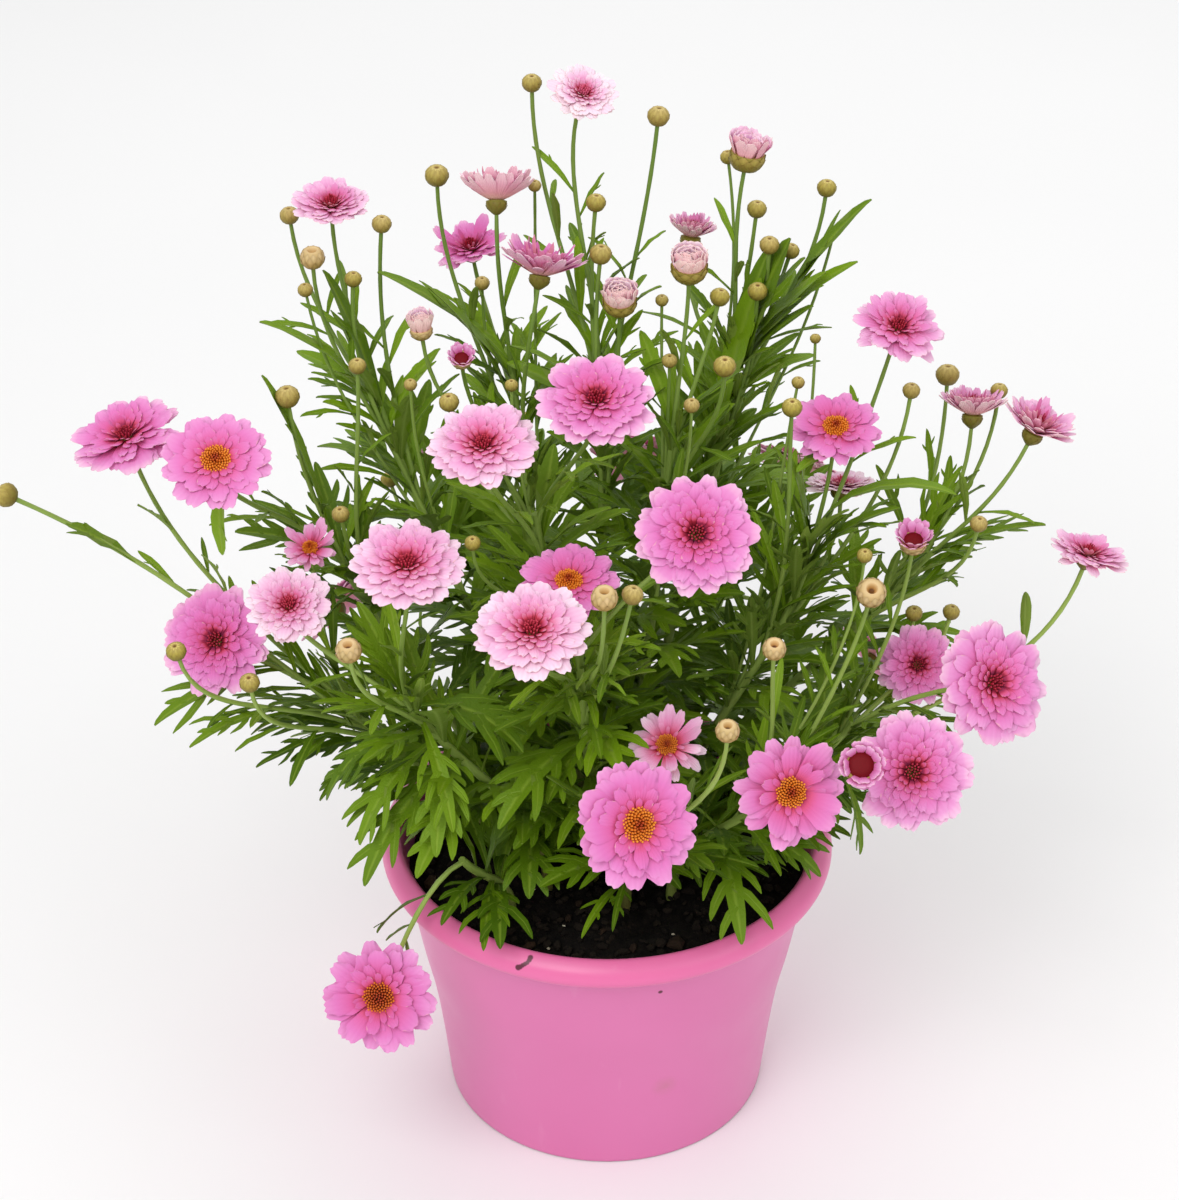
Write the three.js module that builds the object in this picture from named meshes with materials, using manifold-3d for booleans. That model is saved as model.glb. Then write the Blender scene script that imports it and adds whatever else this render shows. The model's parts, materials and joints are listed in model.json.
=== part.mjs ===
// A double pink marguerite daisy growing in a round plastic pot, in millimetres.
// The origin is the middle of the pot's underside, +Z is up and the plant's front faces -Y.
import * as THREE from "three";
import { mergeVertices } from "three/addons/utils/BufferGeometryUtils.js";
import Module from "manifold-3d";

// Pot: a 200 mm nursery pot whose wall widens up to a rounded lip
const POT_SIDES = 24;
const LIP_RADIUS = 100;
const LIP_Z = 126;
const RIM_TOP_RADIUS = 94;
const RIM_TOP_Z = 134;
const BODY_TOP_RADIUS = 91;
const BODY_TOP_Z = 118;
const BODY_MIDDLE_RADIUS = 79;
const BODY_MIDDLE_Z = 57;
const BASE_RADIUS = 72;
const BASE_EDGE = 1.5;
const WALL = 2.5;
const DRAIN_HOLES = 4;
const DRAIN_RADIUS = 4.5;
const DRAIN_CIRCLE = 45;
const DRAIN_SIDES = 8;

// Soil: it fills the pot and rises a little in the middle
const SOIL_EDGE_Z = 116;
const SOIL_MOUND = 4;
const MOUND_RADIUS = 88;
const SOIL_GAP = 0.3;
const SOIL_EDGE_RADIUS = 87.6;

// Stems, stalks and closed buds: a bud's sizes are shares of its width
const ROD_SIDES = 4;
const STEM_RADIUS = 2.4;
const STEM_TIP_RADIUS = 1.7;
const STEM_STEPS = 5;
const POINT_SHARE = 0.1;
const STEM_DEPTH = 12;
const STEM_RISE = 0.4;
const STEM_LEAN = 0.65;
const HOLE_RADIUS = 3.3;
const HOLE_SIDES = 6;
const STALK_RADIUS = 1.2;
const SHORT_STALK = 115;
const STALK_REACH = 0.38;
const BRANCH_SPACING = 0.08;
const HIGHEST_BRANCH = 0.97;
const LOWEST_BRANCH = 0.45;
const CALYX_RADIUS = 4.4;
const CALYX_HEIGHT = 5;
const CALYX_SHARE = 0.2;
const SEAT_GAP = 0.3;
const BUD_RADIUS = 0.46;
const BUD_FOOT = -0.42;
const BUD_LOWER = -0.18;
const BUD_UPPER = 0.16;
const BUD_TIP = 0.4;
const CUP_TOP = 0;

// Petals: a broad outer layer under a smaller, steeper inner one. A notch is how far out two
// neighbours part, as a share of the layer's radius.
const PETAL_THICKNESS = 0.7;
const OUTER_PETALS = 9;
const INNER_PETALS = 7;
const INNER_SHARE = 0.66;
const INNER_SLOPE = 0.3;
const INNER_TURN = 0.3;
const OUTER_NOTCH = 0.48;
const STEEP_NOTCH = 0.3;
const STEEP = 0.4;
const INNER_NOTCH = 0.5;
const PETAL_VARIATION = 0.1;
const CUP_PETALS = 6;
const CUP_NOTCH = 0.5;
const CUP_DISC_SHARE = 0.45;
const PETAL_SUNK = 0.28;
const LAYER_GAP = 0.4;
const DISC_SHARE = 0.2;
const SMALL_BLOOM = 36;
const DISC_SIDES = 5;
const DISC_EDGE_RISE = 2;
const DISC_RISE = 3;
const BLOOM_DEPTH = 3;
const BLUNT = [-0.62, 0.62];
const POINTED = [0];

// Leaves: narrow at the foot, with two lobes a side and a pointed end
const LEAF_THICKNESS = 0.8;
const LEAF_LENGTH = 60;
const SMALL_LEAF = 52;
const STRAP_LEAF_Z = 270;
const LEAF_RISE = 1.05;
const LEAF_FOLD = 0.25;
const LEAF_START = 0.12;
const LEAF_END = 0.92;
const GOLDEN_ANGLE = 2.39996;
const STEM_INSET = 0.85;

// Half the outline of a leaf, from its foot to its tip: share of the length and of the width
const LEAF_HALF = [[0, 0.02], [0.36, 0.035], [0.54, 0.15], [0.6, 0.06], [0.78, 0.15]];

// A leaf's way between the others: how many headings it tries, and how far blades keep apart
const LEAF_TRIES = 16;
const TRY_TURN = 0.45;
const TRY_LOWER = 0.04;
const TRY_SHORTER = 0.02;
const BLADE_MARGIN = 2.6;
const PROBE_SHARES = [0.2, 0.32, 0.44, 0.56, 0.68, 0.8, 0.9, 1];
const PROBE_SIDES = [0.075, 0.15];
const LOBED_FROM = 0.4;
const LOBED_TO = 0.85;
const BALL_SPACING = 4;

const COLOURS = {
  petal: "#e689c3",
  pale: "#f3bfdc",
  leaf: "#5c8f2a",
  pot: "#e57fb5",
  soil: "#2b211b",
};
const PALE_BLOOMS = ["bloom_01", "bloom_21", "bloom_23", "bloom_24", "bloom_25"];

// Each shoot: its name, its foot on the soil (x, y), its top (x, y, z) and how many leaves it bears
const SHOOTS = [
  ["shoot_top", 0, 25, -3, 72, 330, 3],
  ["shoot_crown_left", -18, 30, -42, 88, 320, 3],
  ["shoot_high_left", -34, 24, -100, 75, 310, 3],
  ["shoot_crown_right", 18, 30, 55, 88, 325, 3],
  ["shoot_middle_right", 12, 8, 28, 50, 310, 4],
  ["shoot_right", 32, 12, 82, 20, 245, 4],
  ["shoot_far_right", 47, 30, 140, 42, 252, 3],
  ["shoot_low_right", 46, -12, 106, -8, 195, 4],
  ["shoot_front_right", 28, -30, 80, -60, 205, 3],
  ["shoot_front", 8, -40, 15, -75, 185, 4],
  ["shoot_front_middle", -6, -18, -12, -55, 265, 4],
  ["shoot_middle", -10, 6, -30, -5, 300, 4],
  ["shoot_front_left", -26, -26, -85, -50, 240, 2],
  ["shoot_low_left", -46, -10, -115, -5, 205, 3],
  ["shoot_left", -50, 12, -116, 30, 258, 3],
  ["shoot_rim_left", -42, -38, -62, -58, 160, 1],
  ["shoot_back_left", -24, 50, -60, 110, 210, 4],
  ["shoot_back_right", 26, 50, 60, 110, 210, 3],
];

// Each head: its node or kind, its shoot, its middle (x, y, z), the way it faces (degrees round
// from +X, then degrees down from straight up), its width and how steeply its petals stand
const HEADS = [
  ["bloom_01", "shoot_top", -10, 95, 445, -60, 25, 32, 0.2],
  ["bud", "shoot_top", -32, 112, 441, -90, 5, 9, 0],
  ["bud", "shoot_top", 21, 90, 436, 0, 5, 10, 0],
  ["bud", "shoot_top", -5, 80, 401, 0, 5, 9, 0],
  ["bud", "shoot_top", -3, 68, 383, 0, 5, 10, 0],
  ["head_01", "shoot_top", 5, 58, 366, -90, 15, 15, 1.7],
  ["bloom_02", "shoot_crown_left", -47, 90, 400, 90, 32, 32, 1.1],
  ["bloom_03", "shoot_crown_left", -60, 130, 355, -130, 12, 34, 0.35],
  ["bloom_04", "shoot_crown_left", -28, 66, 377, 70, 28, 38, 0.75],
  ["bud", "shoot_crown_left", -73, 110, 399, -90, 5, 11, 0],
  ["bud", "shoot_crown_left", -79, 62, 350, 180, 5, 10, 0],
  ["bud", "shoot_crown_left", -62, 58, 338, -90, 30, 9, 0],
  ["bloom_05", "shoot_high_left", -118, 100, 391, -90, 8, 35, 0.3],
  ["bud", "shoot_high_left", -137, 110, 380, 180, 5, 9, 0],
  ["bud", "shoot_high_left", -125, 78, 376, -90, 5, 11, 0],
  ["bud", "shoot_high_left", -96, 90, 386, 0, 5, 9, 0],
  ["bud", "shoot_high_left", -108, 76, 367, 0, 5, 8, 0],
  ["head_02", "shoot_crown_right", 59, 100, 413, 20, 10, 16, 1.9],
  ["bloom_06", "shoot_crown_right", 37, 125, 365, 60, 15, 22, 1.1],
  ["bud", "shoot_crown_right", 94, 110, 393, 0, 5, 9, 0],
  ["bud", "shoot_crown_right", 64, 104, 386, 0, 5, 9, 0],
  ["bud", "shoot_crown_right", 79, 100, 368, 0, 15, 8, 0],
  ["bud", "shoot_crown_right", 64, 80, 359, -90, 10, 9, 0],
  ["head_03", "shoot_middle_right", 34, 60, 381, -90, 10, 16, 1.7],
  ["bud", "shoot_middle_right", 47, 58, 368, 0, 10, 9, 0],
  ["bud", "shoot_middle_right", 48, 20, 356, -90, 10, 10, 0],
  ["bloom_07", "shoot_right", 120, 30, 370, -70, 22, 41, 0.15],
  ["bloom_08", "shoot_right", 95, 20, 328, -90, 20, 41, 0.1],
  ["bloom_09", "shoot_right", 101, 50, 282, 90, 15, 33, 0.2],
  ["bud", "shoot_right", 75, 0, 348, -90, 10, 9, 0],
  ["bud", "shoot_right", 128, 42, 332, 0, 5, 8, 0],
  ["bloom_10", "shoot_far_right", 157, 60, 313, 80, 20, 30, 0.9],
  ["bloom_11", "shoot_far_right", 181, 34, 319, 20, 25, 34, 0.7],
  ["bud", "shoot_far_right", 148, 84, 316, 90, 5, 11, 0],
  ["bud", "shoot_far_right", 156, 8, 287, -60, 10, 8, 0],
  ["bloom_13", "shoot_low_right", 160, -50, 246, -58, 55, 55, 0.05],
  ["bloom_14", "shoot_low_right", 134, 4, 218, -90, 50, 38, 0.1],
  ["bud", "shoot_low_right", 128, 0, 283, -90, 20, 12, 0],
  ["bud", "shoot_low_right", 134, 32, 226, -90, 10, 8, 0],
  ["bud", "shoot_low_right", 150, 30, 228, 0, 10, 8, 0],
  ["bloom_12", "shoot_low_right", 204, 10, 272, 20, 16, 36, 0.2],
  ["bloom_15", "shoot_front_right", 124, -85, 226, -90, 52, 52, 0.05],
  ["bloom_16", "shoot_front_right", 73, -110, 234, -75, 60, 48, 0.05],
  ["head_04", "shoot_front_right", 100, -112, 249, -90, 50, 15, 1.2],
  ["bud", "shoot_front_right", 107, -45, 287, -90, 35, 13, 0],
  ["bud", "shoot_front_right", 66, -80, 283, -90, 20, 10, 0],
  ["bloom_17", "shoot_front", 12, -130, 233, -65, 58, 54, 0.05],
  ["bloom_18", "shoot_front", 24, -74, 232, -90, 35, 34, 0.2],
  ["bud", "shoot_front", 46, -125, 275, -90, 15, 10, 0],
  ["bloom_19", "shoot_front_middle", 35, -60, 325, -85, 48, 52, 0.08],
  ["bloom_20", "shoot_front_middle", -16, -55, 300, -90, 15, 43, 0.1],
  ["bloom_21", "shoot_front_middle", -30, -105, 310, -90, 20, 49, 0.1],
  ["bud", "shoot_front_middle", -2, -110, 327, -90, 10, 11, 0],
  ["bud", "shoot_front_middle", 9, -100, 322, 0, 10, 9, 0],
  ["bloom_22", "shoot_middle", -5, -30, 370, -90, 20, 50, 0.1],
  ["bloom_23", "shoot_middle", -50, -40, 355, -95, 18, 47, 0.1],
  ["bud", "shoot_middle", -66, 20, 339, -120, 10, 9, 0],
  ["bloom_24", "shoot_front_left", -80, -70, 318, -90, 15, 49, 0.1],
  ["bloom_25", "shoot_front_left", -130, -50, 285, -90, 30, 37, 0.15],
  ["bud", "shoot_front_left", -103, -90, 289, -100, 15, 11, 0],
  ["bloom_26", "shoot_low_left", -165, -20, 247, -105, 48, 50, 0.05],
  ["bloom_27", "shoot_low_left", -124, -10, 287, -90, 25, 24, 0.3],
  ["bud", "shoot_low_left", -176, -58, 267, -120, 15, 9, 0],
  ["bud", "shoot_low_left", -146, -66, 257, -100, 15, 9, 0],
  ["bud", "shoot_low_left", -250, 0, 306, 180, 62, 11, 0],
  ["bloom_28", "shoot_low_left", -200, 10, 330, -135, 14, 50, 0.1],
  ["bloom_29", "shoot_left", -159, -22, 337, -90, 30, 47, 0.05],
  ["bud", "shoot_left", -134, 30, 336, 180, 5, 11, 0],
  ["bud", "shoot_left", -105, 40, 345, -90, 5, 8, 0],
  ["bloom_30", "shoot_rim_left", -97, -95, 115, -95, 60, 51, 0.08],
  ["bloom_31", "shoot_back_left", -75, 150, 240, 110, 50, 48, 0.1],
  ["bloom_32", "shoot_back_left", -128, 112, 178, 140, 65, 46, 0.08],
  ["bud", "shoot_back_left", -38, 132, 265, 100, 15, 10, 0],
  ["bud", "shoot_back_left", -100, 135, 232, 130, 25, 9, 0],
  ["bloom_33", "shoot_back_right", 15, 162, 228, 90, 55, 50, 0.1],
  ["bloom_34", "shoot_back_right", 88, 142, 238, 65, 45, 46, 0.1],
  ["bloom_35", "shoot_back_right", 128, 108, 152, 40, 65, 44, 0.08],
  ["bud", "shoot_back_right", 52, 140, 268, 80, 10, 10, 0],
];

// Leaves whose places show most: their shoot, what bears them (0 is the stem, 1 the stalk of its
// first head), how far along it, their tip (x, y, z) and how far they bend down, in degrees
const KEY_LEAVES = [
  ["shoot_low_left", 1, 0.45, -192, -30, 210, 50],
  ["shoot_low_left", 3, 0.4, -175, -50, 213, 40],
  ["shoot_front_left", 0, 0.9, -118, -60, 193, 60],
  ["shoot_front_left", 0, 0.55, -79, -95, 179, 60],
  ["shoot_front_left", 0, 0.7, -102, -80, 163, 60],
  ["shoot_front_right", 1, 0.35, 106, -70, 172, 30],
  ["shoot_low_right", 6, 0.72, 177, 0, 258, 30],
  ["shoot_front_right", 0, 0.5, 56, -94, 143, 60],
  ["shoot_rim_left", 0, 0.6, -70, -85, 146, 60],
  ["shoot_rim_left", 0, 0.4, -45, -98, 144, 60],
  ["shoot_right", 1, 0.55, 78, 0, 317, 40],
  ["shoot_high_left", 0, 0.98, -147, 60, 355, 40],
  ["shoot_left", 2, 0.35, -144, 30, 346, 15],
  ["shoot_high_left", 0, 0.95, -121, 80, 369, 20],
  ["shoot_crown_left", 0, 0.97, -98, 82, 367, 40],
  ["shoot_crown_left", 0, 0.9, -76, 76, 363, 30],
  ["shoot_crown_right", 3, 0.5, 113, 105, 390, 30],
  ["shoot_crown_right", 0, 0.95, 107, 90, 368, 40],
  ["shoot_far_right", 0, 0.97, 186, 20, 279, 30],
];

const wasm = await Module();
wasm.setup();

// A closed three.js geometry as a solid: corners shared, faces of no area left out, facing out
function solidFrom(geometry) {
  const bare = geometry.index ? geometry.toNonIndexed() : geometry;
  bare.deleteAttribute("normal");
  bare.deleteAttribute("uv");
  const merged = mergeVertices(bare, 1e-4);
  const corners = merged.index.array;
  const triangles = [];
  for (let i = 0; i < corners.length; i += 3) {
    const [a, b, c] = [corners[i], corners[i + 1], corners[i + 2]];
    if (a !== b && b !== c && c !== a) triangles.push(a, b, c);
  }
  const places = merged.attributes.position.array;
  const made = solidOfTriangles(places, triangles);
  return made.volume() > 0 ? made : solidOfTriangles(places, triangles.reverse());
}

function solidOfTriangles(vertProperties, triangles) {
  const triVerts = new Uint32Array(triangles);
  return new wasm.Manifold(new wasm.Mesh({ numProp: 3, vertProperties, triVerts }));
}

function joined(solids) {
  return solids.reduce((whole, piece) => whole.add(piece));
}

// A solid as a named mesh
function meshFrom(name, solid, colour, roughness) {
  const data = solid.getMesh();
  const places = new Float32Array(data.vertProperties);
  const geometry = new THREE.BufferGeometry();
  geometry.setAttribute("position", new THREE.BufferAttribute(places, 3));
  geometry.setIndex(new THREE.BufferAttribute(new Uint32Array(data.triVerts), 1));
  geometry.computeVertexNormals();
  const mesh = new THREE.Mesh(geometry, new THREE.MeshStandardMaterial({ color: colour, roughness }));
  mesh.name = name;
  return mesh;
}

// A number from 0 to 1 that looks random but depends only on the two it is given
function draw(index, seed) {
  const value = Math.sin(index * 12.9898 + seed * 78.233) * 4375.8545;
  return value - Math.floor(value);
}

// A direction from degrees round from +X and degrees down from straight up
function direction(around, down) {
  const round = THREE.MathUtils.degToRad(around);
  const tilt = THREE.MathUtils.degToRad(down);
  return new THREE.Vector3(
    Math.sin(tilt) * Math.cos(round),
    Math.sin(tilt) * Math.sin(round),
    Math.cos(tilt),
  );
}

// The height of the soil at a distance from the pot's axis
function soilHeight(x, y) {
  return SOIL_EDGE_Z + SOIL_MOUND * (1 - (x * x + y * y) / (MOUND_RADIUS * MOUND_RADIUS));
}

function isHalfOpen(kind) {
  return kind.startsWith("head");
}

// The main stem of a shoot rises from its foot and leans out to its top
function stemCurve([, footX, footY, topX, topY, topZ]) {
  const foot = new THREE.Vector3(footX, footY, soilHeight(footX, footY) + 1);
  const top = new THREE.Vector3(topX, topY, topZ);
  const straight = STEM_RISE * (top.z - foot.z);
  const lean = foot.clone().lerp(top, STEM_LEAN);
  const stem = new THREE.CubicBezierCurve3(
    foot,
    new THREE.Vector3(foot.x, foot.y, foot.z + straight),
    new THREE.Vector3(lean.x, lean.y, top.z - straight),
    top,
  );
  stem.isStem = true;
  return stem;
}

// The middle of a rod, whose faces run straight from one of its stations to the next
function alongRod(curve, share) {
  const steps = rodSteps(curve);
  const from = Math.min(Math.floor(share * steps), steps - 1);
  const next = curve.getPoint((from + 1) / steps);
  return curve.getPoint(from / steps).lerp(next, share * steps - from);
}

function rodSteps(curve) {
  if (curve.isStem) return STEM_STEPS;
  return curve.getLength() < SHORT_STALK ? 2 : 3;
}

// The stalk of a head leaves the stem at a slant and ends straight behind the head
function stalkCurve(stem, share, end, facing) {
  const start = alongRod(stem, share);
  const reach = STALK_REACH * start.distanceTo(end);
  const way = end.clone().sub(start).normalize().add(stem.getTangent(share)).normalize();
  return new THREE.CubicBezierCurve3(
    start,
    start.clone().addScaledVector(way, reach),
    end.clone().addScaledVector(facing, -reach),
    end,
  );
}

// One place along a rod: how thick it is, where its middle is and which way it runs
function station(radius, middle, way, twist = 0) {
  const turn = new THREE.Quaternion().setFromUnitVectors(new THREE.Vector3(0, 0, 1), way);
  return { radius, middle, turn, twist };
}

// A rod turned on the lathe and then bent through its stations
function bentRod(stations) {
  const profile = stations.map(({ radius }, i) => new THREE.Vector2(radius, i));
  const geometry = new THREE.LatheGeometry(profile, ROD_SIDES);
  const points = geometry.attributes.position;
  const corner = new THREE.Vector3();
  const axis = new THREE.Vector3(0, 0, 1);
  for (let i = 0; i < points.count; i++) {
    const { middle, turn, twist } = stations[Math.round(points.getY(i))];
    corner.set(points.getX(i), points.getZ(i), 0).applyAxisAngle(axis, twist);
    corner.applyQuaternion(turn).add(middle);
    points.setXYZ(i, corner.x, corner.y, corner.z);
  }
  return solidFrom(geometry);
}

// Stations along a curve, from one radius to another: a stem has a straight foot, a stalk a point
function curveStations(curve, from, to, depth = 0) {
  const steps = rodSteps(curve);
  const start = curve.getPoint(0).addScaledVector(curve.getTangent(0), -depth);
  const stations = [station(0, start, curve.getTangent(0))];
  if (depth > 0) stations.push(station(from, start, curve.getTangent(0)));
  for (let i = 0; i <= steps; i++) {
    const share = i === 0 && depth === 0 ? POINT_SHARE : i / steps;
    const radius = from + (to - from) * share;
    stations.push(station(radius, curve.getPoint(share), curve.getTangent(share)));
  }
  return stations;
}

// A main stem: thicker at its foot, which goes straight down into the soil
function makeStem(stem) {
  const stations = curveStations(stem, STEM_RADIUS, STEM_TIP_RADIUS, STEM_DEPTH + 1);
  stations.push(station(0, stem.getPoint(1), stem.getTangent(1)));
  return bentRod(stations);
}

// A stalk with what it ends in: a closed bud, a bud cut level, or the green cup of a bloom
function makeStalk({ kind, curve, facing, middle, width }) {
  const stations = curveStations(curve, STALK_RADIUS, STALK_RADIUS);
  const add = (radius, height, twist) => {
    stations.push(station(radius, middle.clone().addScaledVector(facing, height), facing, twist));
  };
  if (kind === "bud") {
    add(BUD_RADIUS * width, BUD_LOWER * width, Math.PI / 4);
    add(BUD_RADIUS * width, BUD_UPPER * width, 0);
    add(0, BUD_TIP * width, 0);
  } else if (isHalfOpen(kind)) {
    add(BUD_RADIUS * width, BUD_LOWER * width, Math.PI / 4);
    add(BUD_RADIUS * width, CUP_TOP * width, 0);
    add(0, CUP_TOP * width, 0);
  } else {
    const seat = -BLOOM_DEPTH - SEAT_GAP;
    add(Math.min(CALYX_RADIUS, CALYX_SHARE * width), seat, Math.PI / 4);
    add(0, seat, 0);
  }
  return bentRod(stations);
}

// A geometry built round +Z, turned to face a way and moved to a place
function placed(geometry, facing, position) {
  const turn = new THREE.Quaternion().setFromUnitVectors(new THREE.Vector3(0, 0, 1), facing);
  const matrix = new THREE.Matrix4().compose(position, turn, new THREE.Vector3(1, 1, 1));
  return geometry.applyMatrix4(matrix);
}

// A profile of radius and height turned round +Z
function lathe(points, sides) {
  const profile = points.map(([radius, height]) => new THREE.Vector2(radius, height));
  return new THREE.LatheGeometry(profile, sides).rotateX(Math.PI / 2);
}

// Pot: base, wall and rounded lip as one ring profile, with drain holes in the base
function makePot() {
  const innerTop = BODY_TOP_RADIUS - WALL;
  const profile = [
    [0, 0],
    [BASE_RADIUS - BASE_EDGE, 0],
    [BASE_RADIUS, BASE_EDGE],
    [BODY_MIDDLE_RADIUS, BODY_MIDDLE_Z],
    [BODY_TOP_RADIUS, BODY_TOP_Z],
    [LIP_RADIUS - 3, LIP_Z - 4],
    [LIP_RADIUS, LIP_Z],
    [LIP_RADIUS - 2, LIP_Z + 5],
    [RIM_TOP_RADIUS, RIM_TOP_Z],
    [innerTop + 2, RIM_TOP_Z - 2],
    [innerTop, BODY_TOP_Z - 1],
    [BODY_MIDDLE_RADIUS - WALL, BODY_MIDDLE_Z],
    [BASE_RADIUS - WALL, BASE_EDGE + 3],
    [BASE_RADIUS - WALL - 2, WALL],
    [0, WALL],
  ];
  let pot = solidFrom(lathe(profile, POT_SIDES));
  for (let i = 0; i < DRAIN_HOLES; i++) {
    const turn = (i / DRAIN_HOLES) * 2 * Math.PI;
    const hole = new THREE.CylinderGeometry(DRAIN_RADIUS, DRAIN_RADIUS, 4 * WALL, DRAIN_SIDES);
    hole.rotateX(Math.PI / 2);
    hole.translate(DRAIN_CIRCLE * Math.cos(turn), DRAIN_CIRCLE * Math.sin(turn), WALL / 2);
    pot = pot.subtract(solidFrom(hole));
  }
  return pot;
}

// Soil: it follows the pot's inner face, mounds in the middle and has a hole for each stem
function makeSoil() {
  const surface = [SOIL_EDGE_RADIUS, 40, 0].map((radius) => [radius, soilHeight(radius, 0)]);
  const profile = [
    [0, WALL + SOIL_GAP],
    [BASE_RADIUS - WALL - 3, WALL + SOIL_GAP],
    [BASE_RADIUS - WALL - 0.7, BASE_EDGE + 4],
    [BODY_MIDDLE_RADIUS - WALL - 0.5, BODY_MIDDLE_Z],
    ...surface,
  ];
  let soil = solidFrom(lathe(profile, POT_SIDES));
  for (const [, x, y] of SHOOTS) {
    const depth = STEM_DEPTH + SOIL_GAP;
    const hole = new THREE.CylinderGeometry(HOLE_RADIUS, HOLE_RADIUS, 2 * depth, HOLE_SIDES);
    hole.rotateX(Math.PI / 2);
    hole.translate(x, y, soilHeight(x, y));
    soil = soil.subtract(solidFrom(hole));
  }
  return soil;
}

// A layer's height where its petals slope, so that they keep their thickness
function layerDepth(slope) {
  return PETAL_THICKNESS * Math.sqrt(1 + slope * slope);
}

// A flat plate of an outline with straight sides
function flatPlate(outline, depth) {
  return new THREE.ExtrudeGeometry(outline, { depth, bevelEnabled: false, curveSegments: 1 });
}

// One layer of petals: a thin star whose petals end in the given tips and rise outwards by its slope
function petalLayer(radius, count, notchShare, slope, base, shift, tips) {
  const outline = new THREE.Shape();
  for (let i = 0; i < count; i++) {
    const middle = ((i + shift) / count) * 2 * Math.PI;
    const half = Math.PI / count;
    const length = radius * (1 - PETAL_VARIATION * draw(i, count));
    const notch = radius * notchShare;
    const from = middle - half;
    if (i === 0) outline.moveTo(notch * Math.cos(from), notch * Math.sin(from));
    else outline.lineTo(notch * Math.cos(from), notch * Math.sin(from));
    for (const tip of tips) {
      const angle = middle + tip * half;
      outline.lineTo(length * Math.cos(angle), length * Math.sin(angle));
    }
  }
  const geometry = flatPlate(outline, layerDepth(slope));
  const points = geometry.attributes.position;
  for (let i = 0; i < points.count; i++) {
    const reach = Math.hypot(points.getX(i), points.getY(i)) - radius * notchShare;
    const lift = Math.max(0, reach) * slope;
    points.setZ(i, points.getZ(i) + base + lift);
  }
  return geometry;
}

// An open bloom: outer and inner petals, and the disc that holds both and stands up in the middle
function makeBloom(width, steepness, index) {
  const radius = width / 2;
  const notch = steepness > STEEP ? STEEP_NOTCH : OUTER_NOTCH;
  const innerRadius = radius * INNER_SHARE;
  const overhang = Math.max(0, INNER_NOTCH * innerRadius - notch * radius);
  const outerBase = -BLOOM_DEPTH;
  const innerBase = outerBase + layerDepth(steepness) + LAYER_GAP + overhang * steepness;
  const innerSlope = steepness + INNER_SLOPE;
  const fewer = width < SMALL_BLOOM ? 1 : 0;
  const outerCount = OUTER_PETALS - fewer;
  const innerCount = INNER_PETALS - fewer;
  const outer = petalLayer(radius, outerCount, notch, steepness, outerBase, 0, BLUNT);
  const inner = petalLayer(
    innerRadius, innerCount, INNER_NOTCH, innerSlope, innerBase, INNER_TURN, POINTED,
  );
  const discProfile = [
    [0, outerBase + PETAL_SUNK],
    [radius * DISC_SHARE, innerBase + DISC_EDGE_RISE],
    [0, innerBase + DISC_RISE],
  ];
  return [outer, inner, lathe(discProfile, DISC_SIDES)].map((piece) => piece.rotateZ(index));
}

// A half-open head: a few petals that still stand up round the middle, on the level cup
function makeHalfOpen(width, steepness) {
  const base = CUP_TOP * width + SEAT_GAP;
  const cup = petalLayer(width / 2, CUP_PETALS, CUP_NOTCH, steepness, base, 0, BLUNT);
  const discProfile = [
    [0, base + PETAL_SUNK],
    [width * DISC_SHARE, base + DISC_EDGE_RISE],
    [0, base + CUP_DISC_SHARE * width],
  ];
  return [cup, lathe(discProfile, DISC_SIDES)];
}

// The middle line of a leaf: it leaves the stem at an angle and bends evenly to another
function leafFrame(leaf, share) {
  const angle = leaf.rise + (leaf.fall - leaf.rise) * share;
  const bend = leaf.fall - leaf.rise;
  const along = leaf.inset + (leaf.length * (Math.sin(angle) - Math.sin(leaf.rise))) / bend;
  const up = (-leaf.length * (Math.cos(angle) - Math.cos(leaf.rise))) / bend;
  const outX = Math.cos(leaf.heading);
  const outY = Math.sin(leaf.heading);
  return {
    point: [leaf.base.x + along * outX, leaf.base.y + along * outY, leaf.base.z + up],
    side: [-outY, outX, 0],
    normal: [-Math.sin(angle) * outX, -Math.sin(angle) * outY, Math.cos(angle)],
  };
}

// A point of a leaf from its share of the length, its distance from the middle and its height
function leafPoint(leaf, share, across, height) {
  const { point, side, normal } = leafFrame(leaf, share);
  const lift = height + LEAF_FOLD * Math.abs(across);
  return point.map((value, axis) => value + side[axis] * across + normal[axis] * lift);
}

function makeLeaf(leaf) {
  const outline = new THREE.Shape();
  const { length } = leaf;
  const narrow = length < SMALL_LEAF || leaf.base.z > STRAP_LEAF_Z;
  const half = narrow ? LEAF_HALF.slice(0, -1) : LEAF_HALF;
  half.forEach(([share, width], i) => {
    if (i === 0) outline.moveTo(share * length, width * length);
    else outline.lineTo(share * length, width * length);
  });
  outline.lineTo(length, 0);
  for (const [share, width] of [...half].reverse()) {
    outline.lineTo(share * length, -width * length);
  }
  const geometry = flatPlate(outline, LEAF_THICKNESS);
  const points = geometry.attributes.position;
  for (let i = 0; i < points.count; i++) {
    const place = leafPoint(leaf, points.getX(i) / length, points.getY(i), points.getZ(i));
    points.setXYZ(i, ...place);
  }
  return solidFrom(geometry);
}

// What a leaf has to keep clear of: balls along stems, stalks and other leaves, and flat discs
const balls = [];
const discs = [];

function addBalls(curve, radius, owner, from) {
  const count = Math.ceil(curve.getLength() / BALL_SPACING);
  for (let i = 0; i <= count; i++) {
    const at = alongRod(curve, from + ((1 - from) * i) / count);
    balls.push([at.x, at.y, at.z, radius, owner]);
  }
}

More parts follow.
